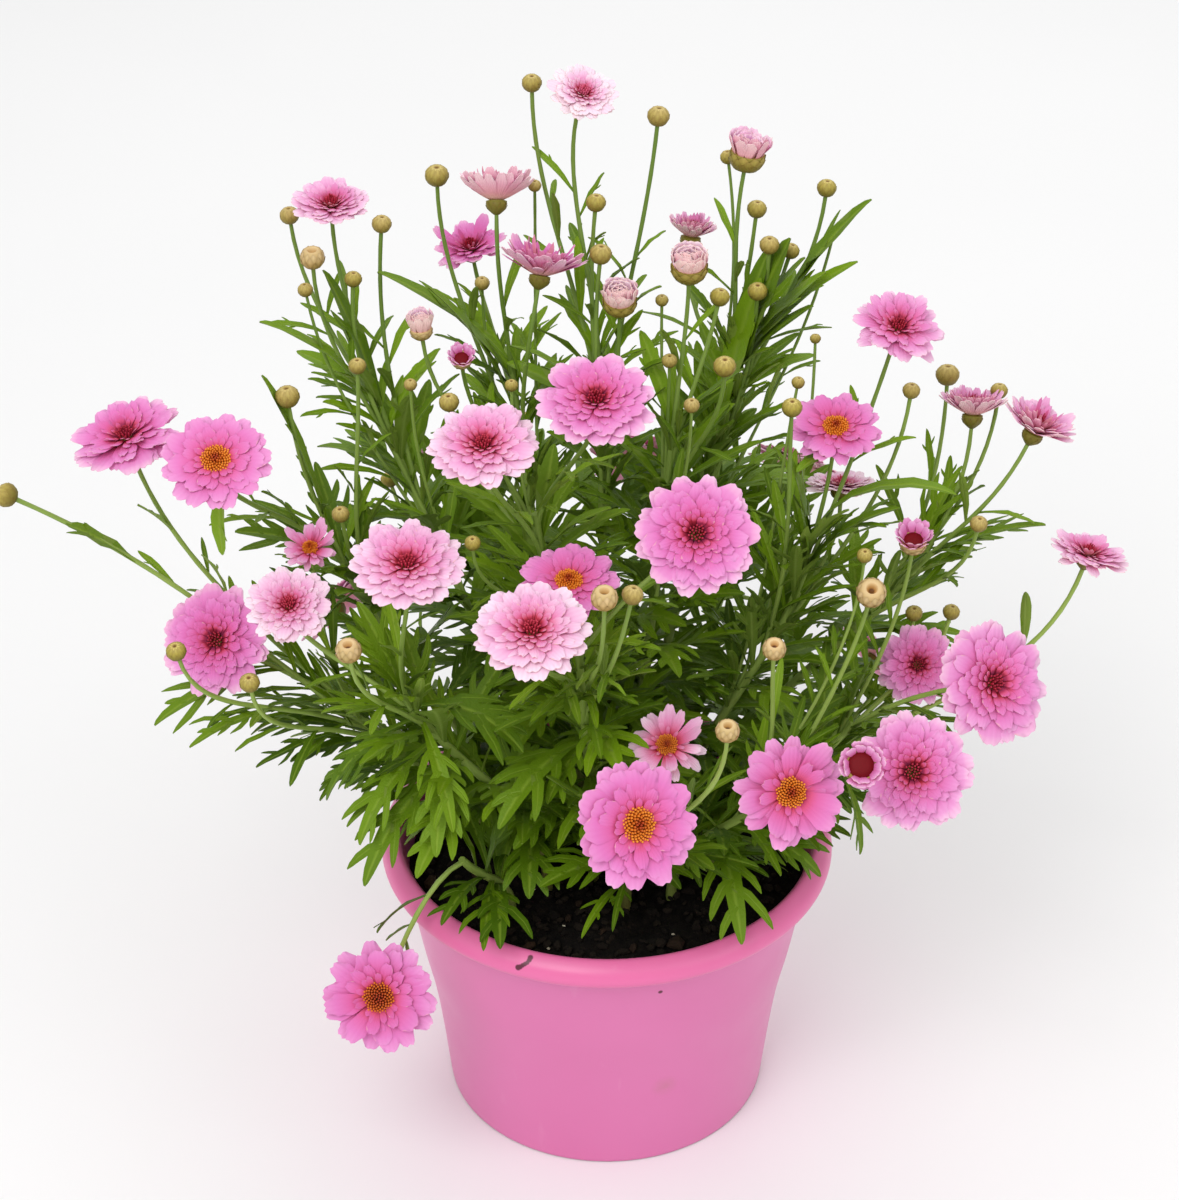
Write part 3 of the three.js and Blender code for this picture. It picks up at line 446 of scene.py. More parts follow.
class Piece:
    """The points and faces of one piece, in millimetres, with four shade numbers at each point."""

    def __init__(self):
        self.points = []
        self.shades = []
        self.faces = []
        self.slots = []

    def add(self, place, shade):
        self.points.append((place[0] * MM, place[1] * MM, place[2] * MM))
        self.shades.extend(shade)
        return len(self.points) - 1

    def ring(self, radius, height, sides):
        """Points round the pot's axis, or one point on the axis that all sides share."""
        if radius == 0:
            return [self.add((0, 0, height), NO_SHADE)] * sides
        return [self.add(polar(radius, angle, height), NO_SHADE) for angle in circle(sides)]

    def face(self, corners, slot):
        self.faces.append(tuple(corners))
        self.slots.append(slot)

    def band(self, first, second, slot, closed=True):
        """Faces between two rows of points with the same count."""
        count = len(first)
        for i in range(count if closed else count - 1):
            j = (i + 1) % count
            corners = dict.fromkeys((first[i], first[j], second[j], second[i]))
            if len(corners) > 2:
                self.face(corners, slot)

    def skin(self, rows, slot):
        """A closed skin over rows of points that each run round it."""
        for first, second in zip(rows, rows[1:]):
            self.band(first, second, slot)
        self.face(reversed(rows[0]), slot)
        self.face(rows[-1], slot)

    def finish(self, name, materials, finish_slot, *nodes):
        """Makes the Blender object, which rides on the part and hides the named CAD nodes in its stead."""
        mesh = bpy.data.meshes.new(name)
        mesh.from_pydata(self.points, [], self.faces)
        for material in materials:
            mesh.materials.append(material)
        mesh.polygons.foreach_set("material_index", self.slots)
        mesh.polygons.foreach_set("use_smooth", [True] * len(self.faces))
        shade = mesh.attributes.new("shade", "FLOAT_COLOR", "POINT")
        shade.data.foreach_set("color", self.shades)
        mesh.set_sharp_from_angle(angle=math.radians(70))
        mesh.update()
        made = bpy.data.objects.new(name, mesh)
        bpy.context.scene.collection.objects.link(made)
        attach(made, "root")
        if nodes:
            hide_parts(*nodes)
        return made


# Materials


def rgb(red, green, blue):
    """A colour as the eye names it, from 0 to 255, as the light that Blender counts with."""
    def light(value):
        value /= 255
        return value / 12.92 if value <= 0.04045 else ((value + 0.055) / 1.055) ** 2.4
    return light(red), light(green), light(blue), 1


class Look:
    """A Principled material whose colour comes from the points' shade numbers and noise."""

    def __init__(self, name, roughness, specular):
        self.material = bpy.data.materials.new(name)
        self.material.use_nodes = True
        self.tree = self.material.node_tree
        self.shader = self.tree.nodes["Principled BSDF"].inputs
        self.feed(self.shader, {"Roughness": roughness, "Specular IOR Level": specular})

    def feed(self, inputs, values):
        """Sets inputs to numbers or colours, or links them to the outputs of other nodes."""
        for key, value in values.items():
            if isinstance(value, bpy.types.NodeSocket):
                self.tree.links.new(value, inputs[key])
            else:
                inputs[key].default_value = value

    def node(self, kind, values, **settings):
        """The outputs of a new node."""
        made = self.tree.nodes.new(kind)
        for name, value in settings.items():
            setattr(made, name, value)
        self.feed(made.inputs, values)
        return made.outputs

    def shade(self):
        """The four shade numbers: three channels and the fourth on its own."""
        source = self.node("ShaderNodeAttribute", {}, attribute_name="shade")
        parts = self.node("ShaderNodeSeparateColor", {"Color": source["Color"]})
        return parts["Red"], parts["Green"], parts["Blue"], source["Alpha"]

    def place(self):
        return self.node("ShaderNodeTexCoord", {})["Object"]

    def height(self):
        """Metres above the floor."""
        return self.node("ShaderNodeSeparateXYZ", {"Vector": self.place()})["Z"]

    def noise(self, scale, detail, stretch=(1, 1, 1)):
        """Seedless noise in the piece's own space, so that it stays where it is from every side."""
        place = self.node("ShaderNodeMapping", {"Vector": self.place(), "Scale": stretch})["Vector"]
        return self.node("ShaderNodeTexNoise", {"Vector": place, "Scale": scale, "Detail": detail})["Fac"]

    def near(self, middle, reach):
        """1 at a place in millimetres that falls to 0 at a distance from it."""
        values = {0: self.place(), 1: [value * MM for value in middle]}
        apart = self.node("ShaderNodeVectorMath", values, operation="DISTANCE")["Value"]
        fall = self.number("DIVIDE", apart, reach * MM)
        return self.number("MAXIMUM", self.number("SUBTRACT", 1.0, fall), 0.0)

    def ramp(self, source, *stops):
        """A colour from stops that each hold a place on the ramp and red, green and blue."""
        colour = self.node("ShaderNodeValToRGB", {"Fac": source})["Color"]
        elements = colour.node.color_ramp.elements
        for _ in stops[2:]:
            elements.new(0.5)
        for element, (place, *parts) in zip(elements, stops):
            element.position = place
            element.color = rgb(*parts)
        return colour

    def number(self, operation, *values):
        return self.node("ShaderNodeMath", dict(enumerate(values)), operation=operation)[0]

    def times(self, first, second):
        return self.number("MULTIPLY", first, second)

    def mix(self, share, first, second):
        return self.node("ShaderNodeMix", {0: share, 6: first, 7: second}, data_type="RGBA")[2]

    def tint(self, body, share, most, colour):
        """The body's colour with another laid over it, by a share of the most that it may cover."""
        return self.mix(self.times(share, most), body, colour)

    def done(self, colour, grain, height, strength=1.0):
        """The material with its colour, and with its grain as a bump of a height in millimetres."""
        bump = {"Strength": strength, "Distance": height * MM, "Height": grain}
        normal = self.node("ShaderNodeBump", bump)["Normal"]
        self.feed(self.shader, {"Base Color": colour, "Normal": normal})
        return self.material


def leaf_material(name, dark, bright, vein, roughness):
    """Shade: vein, share of the length, the leaf's own draw, and how high it grows, which darkens low
    leaves partly for age and partly as painted shade.
    """
    look = Look(name, roughness, 0.2)
    veins, _, own, age_and_shade = look.shade()
    # Painted shade: low leaves lean to the dark green, partly for their age and partly for the shade under
    # the foliage
    body = look.mix(look.number("MULTIPLY_ADD", own, 0.7, look.times(age_and_shade, 0.35)), dark, bright)
    body = look.tint(body, look.noise(70, 3), 0.4, bright)
    sharp = look.ramp(veins, (0.7, 0, 0, 0), (0.97, 255, 255, 255))
    grain = look.number("MULTIPLY_ADD", sharp, -0.8, look.noise(900, 2))
    return look.done(look.tint(body, sharp, 0.45, vein), grain, 0.25)


def stem_material():
    """Shade: nothing, share of the length, the rod's own draw, and how woody it is."""
    look = Look("green_stem", 0.5, 0.35)
    _, _, own, wood = look.shade()
    low = look.ramp(look.height(), (0.24, 255, 255, 255), (0.36, 0, 0, 0))
    streaks = look.noise(160, 3, (1, 1, 0.12))
    green = look.mix(own, rgb(100, 128, 46), rgb(126, 152, 66))
    green = look.tint(green, low, 0.75, rgb(166, 190, 92))
    green = look.tint(green, streaks, 0.35, rgb(92, 120, 34))
    bark = look.mix(streaks, rgb(84, 70, 36), rgb(116, 112, 58))
    return look.done(look.mix(wood, green, bark), streaks, 0.3)


def bud_material():
    """Shade: height on the bud, paleness, the bract's own draw, and the edge of it; low heights are dark
    partly as painted shade.
    """
    look = Look("bud_bracts", 0.55, 0.3)
    height, pale, own, edge = look.shade()
    # Low on a bud both ramps turn dark olive: partly the bud's own base and partly painted shade under it
    green = look.ramp(
        height, (0, 76, 80, 18), (0.3, 116, 108, 30), (0.52, 172, 156, 62), (0.8, 214, 196, 110),
        (0.97, 120, 84, 36),
    )
    cream = look.ramp(
        height, (0, 104, 84, 32), (0.35, 190, 154, 92), (0.75, 238, 206, 160), (0.9, 200, 150, 90),
        (0.97, 96, 44, 18),
    )
    body = look.tint(look.mix(pale, green, cream), own, 0.25, rgb(150, 144, 62))
    return look.done(look.tint(body, edge, 0.4, rgb(126, 96, 44)), look.noise(700, 2), 0.2)


def petal_material(name, stops, pale_stops, streak_colour):
    """Shade: distance from the head's middle, place across, the petal's own draw, and paleness."""
    look = Look(name, 0.65, 0.2)
    reach, across, own, pale = look.shade()
    body = look.tint(look.ramp(reach, *stops), own, 0.28, streak_colour)
    share = look.times(pale, look.number("MULTIPLY_ADD", own, -0.5, 1.1))
    body = look.mix(share, body, look.ramp(reach, *pale_stops))
    wave = look.number("SINE", look.times(across, 30.0))
    streak = look.number("MULTIPLY_ADD", wave, 0.04, look.times(look.noise(260, 3), 0.12))
    streak = look.times(streak, look.number("MINIMUM", look.times(reach, 4.0), 1.0))
    return look.done(look.mix(streak, body, streak_colour), wave, 0.04)


def disc_material():
    """Shade: distance from the disc's middle, height on the floret, its own draw, nothing."""
    look = Look("orange_disc", 0.55, 0.3)
    reach, _, own, _ = look.shade()
    body = look.ramp(reach, (0, 140, 30, 14), (0.2, 178, 66, 14), (0.5, 224, 124, 26), (1, 240, 156, 50))
    return look.done(look.tint(body, own, 0.25, rgb(200, 84, 22)), look.noise(1500, 2), 0.15)


def soil_material():
    look = Look("potting_soil", 0.95, 0.15)
    body = look.ramp(look.noise(260, 6), (0.3, 12, 10, 9), (0.6, 24, 20, 17), (0.8, 46, 38, 30))
    return look.done(body, look.noise(500, 5), 1.2)


def crumb_material(name, first, second, roughness):
    """Shade: nothing but, in third place, the crumb's own draw."""
    look = Look(name, roughness, 0.2)
    tone = look.number("MULTIPLY_ADD", look.noise(600, 4), 0.5, look.shade()[2])
    return look.done(look.mix(tone, first, second), look.noise(900, 3), 0.5)


def pot_material():
    """Satin moulded plastic: an even pink with faint cloudiness, scuffs, a fine grain and a painted
    reflection.
    """
    look = Look("pink_plastic", 0.35, 0.5)
    # Painted reflection: the body's lilac tint stands for reflected light, and the lip above the ramp's
    # height is painted a hotter pink without it
    body = look.mix(look.noise(16, 3), rgb(216, 110, 166), rgb(223, 122, 177))
    lip = look.ramp(look.height(), (0.118, 0, 0, 0), (0.126, 255, 255, 255))
    body = look.mix(lip, body, rgb(230, 110, 165))
    scuffs = look.ramp(look.noise(120, 6, (1, 1, 0.25)), (0.66, 0, 0, 0), (0.8, 255, 255, 255))
    body = look.tint(body, scuffs, 0.12, rgb(240, 180, 208))
    smudge = look.times(look.near(SMUDGE_PLACE, 7), look.noise(300, 3))
    body = look.tint(body, smudge, 0.8, rgb(190, 120, 130))
    for place, reach in POT_MARKS:
        mark = look.number("MINIMUM", look.times(look.near(place, reach), 3.0), 1.0)
        body = look.mix(mark, body, rgb(96, 30, 54))
    look.feed(look.shader, {"Roughness": look.number("MULTIPLY_ADD", look.noise(60, 4), 0.14, 0.27)})
    return look.done(body, look.noise(1400, 2), 0.05, 0.5)


LEAF_TOP = leaf_material("leaf_top", rgb(44, 76, 4), rgb(120, 154, 18), rgb(146, 172, 58), 0.5)
LEAF_UNDER = leaf_material("leaf_underside", rgb(76, 104, 30), rgb(130, 154, 56), rgb(150, 172, 84), 0.6)
PINK_PETALS = petal_material("pink_petals", (
    (0, 112, 8, 18), (0.1, 168, 30, 44), (0.18, 214, 76, 106), (0.32, 222, 98, 162),
    (0.6, 226, 124, 194), (0.85, 234, 154, 212), (1, 248, 204, 230),
), (
    (0, 150, 18, 30), (0.12, 206, 66, 86), (0.26, 230, 124, 158), (0.48, 243, 180, 212),
    (0.75, 250, 222, 238), (1, 252, 238, 246),
), rgb(214, 96, 168))
PETAL_UNDERSIDE = petal_material("petal_underside", (
    (0, 226, 170, 160), (0.3, 232, 152, 174), (0.65, 236, 160, 198), (1, 248, 206, 226),
), (
    (0, 232, 190, 160), (0.35, 240, 180, 176), (1, 250, 222, 214),
), rgb(218, 120, 150))

# Looks of a shoot and of a bloom, with the slot of each; the petals of a tuft come last in a shoot
SHOOT_LOOKS = (LEAF_TOP, LEAF_UNDER, stem_material(), bud_material(), PINK_PETALS, PETAL_UNDERSIDE)
TOP_SLOT, UNDER_SLOT, STEM_SLOT, BUD_SLOT, *TUFT_SLOTS = range(6)
BLOOM_LOOKS = (PINK_PETALS, PETAL_UNDERSIDE, disc_material())
*PETAL_SLOTS, DISC_SLOT = range(3)


# Stems and stalks


class Rod:
    """A stem or stalk along a cubic curve, whose solid is made of a few straight runs."""

    def __init__(self, controls, steps=0):
        self.controls = controls
        samples = [self.point(i / 200) for i in range(201)]
        self.length = sum((b - a).length for a, b in zip(samples, samples[1:]))
        self.steps = steps or (2 if self.length < SHORT_STALK else 3)

    def point(self, share):
        a, b, c, d = self.controls
        rest = 1 - share
        near = a * rest ** 3 + b * (3 * rest * rest * share)
        return near + c * (3 * rest * share * share) + d * share ** 3

    def way(self, share):
        a, b, c, d = self.controls
        rest = 1 - share
        slope = (b - a) * (rest * rest) + (c - b) * (2 * rest * share) + (d - c) * (share * share)
        return slope.normalized()

    def on_solid(self, share):
        """The middle of its solid, which runs straight from one station to the next."""
        steps = self.steps
        start = min(math.floor(share * steps), steps - 1)
        return self.point(start / steps).lerp(self.point((start + 1) / steps), share * steps - start)


def stem_of(foot_x, foot_y, *top):
    foot = Vector((foot_x, foot_y, soil_height(foot_x, foot_y) + 1))
    top = Vector(top)
    straight = STEM_RISE * (top.z - foot.z)
    lean = foot.lerp(top, STEM_LEAN)
    return Rod((foot, foot + UP * straight, Vector((lean.x, lean.y, top.z - straight)), top), STEM_STEPS)


def add_tube(piece, rod, radii, sides, own, wood=0.0, depth=0.0):
    """A ridged tube along a rod, closed at both ends, with a straight foot when it has a depth."""
    count = max(6, int(rod.length / TUBE_STEP))
    shares = [i / count for i in range(count + 1)]
    if depth:
        shares.insert(0, 0.0)
    frame_x = rod.way(0).orthogonal().normalized()
    rows = []
    for number, share in enumerate(shares):
        way = rod.way(share)
        frame_x = (frame_x - way * frame_x.dot(way)).normalized()
        frame_y = way.cross(frame_x)
        middle = rod.point(share) - way * (0 if number else depth)
        swollen = mixed(*radii, share) * (1 + 0.06 * math.sin(share * rod.length * 0.35 + own * 9))
        shade = (0, share, own, wood * max(0.0, 1 - 1.6 * share))
        row = []
        for side, turn in enumerate(circle(sides)):
            x, y, _ = polar(swollen * (0.88 if side % 2 else 1.0), turn)
            row.append(piece.add(middle + frame_x * x + frame_y * y, shade))
        rows.append(row)
    piece.skin(rows, STEM_SLOT)


# Blades: leaves, petals and bracts are closed and thin


def add_blade(piece, rows, thickness, top_slot, under_slot):
    """A blade from rows of (place, normal, shade) points. Its edges are shared by both faces."""
    tops = []
    unders = []
    for row in rows:
        top = [piece.add(place, shade) for place, _, shade in row]
        inner = [piece.add(place - normal * thickness, shade) for place, normal, shade in row[1:-1]]
        tops.append(top)
        unders.append([top[0], *inner, top[-1]])
    for i in range(len(rows) - 1):
        piece.band(tops[i + 1], tops[i], top_slot, False)
        piece.band(unders[i], unders[i + 1], under_slot, False)
    for top, under in ((tops[0], unders[0]), (tops[-1][::-1], unders[-1][::-1])):
        piece.band(top, under, under_slot, False)


# Leaves


class Leaf:
    """A leaf whose middle line leaves the stem at one angle and bends evenly to another."""

    def __init__(self, base, inset, heading, rise, fall, length):
        self.base = base
        self.inset = inset
        self.heading = heading
        self.rise = rise
        self.fall = fall if abs(fall - rise) > 0.02 else rise - 0.02
        self.length = length
        self.roll = 0.0
        self.breadth = 1.0

    def at(self, share):
        """A place on the middle line, the direction to its side and its normal."""
        ahead, side = compass(self.heading)
        out, up, normal = bent(ahead, self.rise, self.fall - self.rise, share, self.length)
        return self.base + ahead * (self.inset + out) + UP * up, side, normal

    def point(self, share, across=0.0):
        """A place on the solid leaf, with a distance across as a share of its length."""
        place, side, normal = self.at(share)
        across *= self.length
        return place + side * across + normal * (LEAF_FOLD * abs(across))

    def spot(self, share, across, sink, phase):
        """A place on the blade and its normal: the blade folds up along its midrib and waves."""
        place, side, normal = self.at(share)
        if self.roll:
            turn = Quaternion(side.cross(normal), self.roll * share)
            side, normal = turn @ side, turn @ normal
        reach = across * self.length
        fold = LEAF_FOLD * abs(reach) - 0.012 * reach * reach
        wave = 0.7 * math.sin(share * 13 + phase) * clamped(abs(across) / 0.12)
        return place + side * reach + normal * (fold + wave - sink), normal

    def probes(self):
        """The points of a solid leaf that are tested for clearance."""
        found = []
        for share in PROBE_SHARES:
            found.append(self.point(share))
            if LOBED_FROM <= share <= LOBED_TO:
                for across in PROBE_SIDES:
                    found += [self.point(share, across), self.point(share, -across)]
        return found


# Half the width of a blade and of its fingers along their length, as shares of the length
BLADE_HALF = (
    (0.0, 0.02), (0.1, 0.022), (0.22, 0.03), (0.36, 0.046), (0.5, 0.056), (0.64, 0.052), (0.78, 0.046),
    (0.9, 0.034), (0.97, 0.02), (1.0, 0.006),
)
STRAP_HALF = (
    (0.0, 0.02), (0.14, 0.032), (0.32, 0.052), (0.52, 0.066), (0.72, 0.064), (0.87, 0.046), (0.96, 0.026),
    (1.0, 0.006),
)
FINGER_HALF = ((0.0, 0.8), (0.3, 1.0), (0.65, 0.9), (0.88, 0.55), (1.0, 0.12))

# Fingers of a blade: where they leave the midrib, their length, their half width and their side
BROAD_FINGERS = (
    (0.3, 0.32, 0.026, 1), (0.36, 0.32, 0.026, -1), (0.5, 0.34, 0.03, 1), (0.56, 0.32, 0.03, -1),
    (0.72, 0.22, 0.025, 1),
)
MIDDLE_FINGERS = ((0.42, 0.3, 0.027, 1), (0.53, 0.29, 0.027, -1), (0.69, 0.21, 0.023, 1))
STRAP_FINGERS = ((0.58, 0.22, 0.024, 1), (0.66, 0.2, 0.022, -1))
BROAD_FROM = 46
FINGER_SPREAD = 0.85
FINGER_END = 0.3
FINGER_SINK = 0.1


def add_leaf(piece, leaf, seed, age_and_shade):
    """A leaf whose blade parts into fingers that point forward, with a paler underside."""
    own = draw(seed, 7)
    phase = 6.3 * draw(seed, 8)
    if leaf.base.z > STRAP_LEAF_Z or leaf.length < 0.6 * LEAF_LENGTH:
        half_table, columns = STRAP_HALF, (-1.0, 0.0, 1.0)
        fingers = STRAP_FINGERS[:int(3 * draw(seed, 9))]
    else:
        half_table, columns = BLADE_HALF, (-1.0, -0.45, 0.0, 0.45, 1.0)
        fingers = BROAD_FINGERS if leaf.length * leaf.breadth > BROAD_FROM else MIDDLE_FINGERS
    mirror = 1 if draw(seed, 10) > 0.5 else -1
    rows = []
    for share, half in half_table:
        row = []
        for t in columns:
            spot = leaf.spot(share, t * half * leaf.breadth, 0.0, phase)
            row.append((*spot, (1.0 - abs(t), share, own, age_and_shade)))
        rows.append(row)
    add_blade(piece, rows, LEAF_THICKNESS, TOP_SLOT, UNDER_SLOT)
    for number, (start, length, half, side) in enumerate(fingers):
        grown = length * (0.65 + 0.6 * draw(seed + number, 11)) * mixed(1.0, leaf.breadth, 0.5)
        add_finger(piece, leaf, start, grown, half * leaf.breadth, side * mirror, (own, age_and_shade, phase))


def add_finger(piece, leaf, start, length, half, side, looks):
    own, age_and_shade, phase = looks
    rows = []
    along, across, before = start, 0.0, 0.0
    for t, wide in FINGER_HALF:
        angle = mixed(FINGER_SPREAD, FINGER_END, 0.5 * (t + before))
        along += (t - before) * length * math.cos(angle)
        across += (t - before) * length * math.sin(angle)
        before = t
        angle = mixed(FINGER_SPREAD, FINGER_END, t)
        row = []
        for column in (-1.0, 0.0, 1.0):
            offset = column * half * wide
            share = along - offset * math.sin(angle)
            spot = leaf.spot(share, side * (across + offset * math.cos(angle)), FINGER_SINK, phase)
            row.append((*spot, (0.9 * (1.0 - abs(column)), share, own, age_and_shade)))
        rows.append(row if side > 0 else row[::-1])
    add_blade(piece, rows, 0.7 * LEAF_THICKNESS, TOP_SLOT, UNDER_SLOT)


def leaf_to(tip, bend, inset, base):
    """A leaf from its base to a chosen tip."""
    flat = math.hypot(tip[0] - base.x, tip[1] - base.y) - inset
    half = math.radians(bend) / 2
    slant = math.atan2(tip[2] - base.z, flat)
    length = math.hypot(flat, tip[2] - base.z) * half / math.sin(half)
    heading = math.atan2(tip[1] - base.y, tip[0] - base.x)
    return Leaf(base, inset, heading, slant + half, slant - half, length)


def leaf_on(rod, share, around, spread, droop, length):
    """A leaf that leaves a stem or stalk at an angle to it and then droops."""
    way = rod.way(share)
    first = way.orthogonal().normalized()
    outward = first * math.cos(around) + way.cross(first) * math.sin(around)
    start = way * math.cos(spread) + outward * math.sin(spread)
    rise = math.asin(max(-1.0, min(1.0, start.z)))
    return Leaf(rod.point(share), LOOK_INSET, math.atan2(start.y, start.x), rise, rise - droop, length)


class Clearance:
    """What a leaf has to keep clear of: the pot, balls along rods and leaves, and the heads."""

    def __init__(self):
        self.balls = []
        self.heads = []
        self.shown = [(Vector(place), radius) for *place, radius in SHOWN_PLACES]

    def add_rod(self, rod, radius, owner, start):
        count = math.ceil(rod.length / BALL_SPACING)
        for i in range(count + 1):
            self.balls.append((*rod.on_solid(start + (1 - start) * i / count), radius, owner))

    def add_leaf(self, leaf, owner):
        self.balls += [(*place, BLADE_MARGIN, owner) for place in leaf.probes()]

    def add_head(self, head):
        self.heads.append(head)
        if "back" not in head.shoot:
            self.shown.append((head.middle, SHOWN_SHARE * (head.width / 2)))

    def clear_of_pot(self, place):
        radius = math.hypot(place.x, place.y)
        if place.z > RIM_TOP_Z + OVER_RIM or radius > LIP_RADIUS + BESIDE_LIP:
            return True
        inside = radius < BODY_TOP_RADIUS - WALL - INSIDE_WALL
        return inside and place.z > soil_height(place.x, place.y) + OVER_SOIL

    def clear_of_heads(self, place):
        for head in self.heads:
            radius = head.width / 2
            offset = place - head.middle
            level = abs(offset.dot(head.facing)) <= radius * HEAD_DEPTH_SHARE + HEAD_HALF_DEPTH
            if level and offset.length_squared < (radius + HEAD_MARGIN) ** 2:
                return False
        return True

    def clear_of_balls(self, place, owner, index):
        near = BLADE_MARGIN if index else BASE_MARGIN
        for x, y, z, radius, other in self.balls:
            if other == owner and index < OWN_PROBES:
                continue
            reach = radius + near
            if (place.x - x) ** 2 + (place.y - y) ** 2 + (place.z - z) ** 2 < reach * reach:
                return False
        return True

    def clear_in_front(self, place):
        """Whether a place leaves in sight what the photograph shows."""
        eye = Vector(CAMERA_PLACE)
        offset = place - eye
        for middle, radius in self.shown:
            line = middle - eye
            share = offset.dot(line) / line.length_squared
            if share < 1 and (offset - line * share).length_squared < radius * radius:
                return False
        return True

    def allows(self, leaf, owner):
        places = leaf.probes()
        return all(map(self.clear_of_pot, places)) and all(map(self.clear_of_heads, places)) and all(
            self.clear_of_balls(place, owner, index) for index, place in enumerate(places)
        )

    def allows_look(self, leaf):
        """A leaf that only the looks need may touch other leaves, but neither heads nor the pot."""
        places = [leaf.point(*probe) for probe in LOOK_PROBES]
        tests = (self.clear_of_pot, self.clear_of_heads, self.clear_in_front)
        return all(test(place) for test in tests for place in places)


class Head:
    """A bloom, a half-open head or a bud at the end of its stalk."""

    def __init__(self, shoot, stem, order, kind, x, y, z, around, down, width, steepness=0.0):
        self.shoot = shoot
        self.kind = kind
        self.middle = Vector((x, y, z))
        self.facing = direction(around, down)
        self.turn = UP.rotation_difference(self.facing)
        self.width = width
        self.steepness = steepness
        self.opened = OPENING_BUDS.get((x, y, z), 0)
        is_bloom = kind.startswith("bloom")
        self.foot = self.middle + self.facing * (CUP_FOOT if is_bloom else BUD_FOOT * width)
        self.share = max(LOWEST_BRANCH, HIGHEST_BRANCH - BRANCH_SPACING * order)
        self.stalk = self.stalk_from(stem, stem.on_solid(self.share))

    def stalk_from(self, stem, start):
        """A stalk leaves the stem at a slant and ends straight behind the head."""
        reach = STALK_REACH * (self.foot - start).length
        way = ((self.foot - start).normalized() + stem.way(self.share)).normalized()
        return Rod((start, start + way * reach, self.foot - self.facing * reach, self.foot))


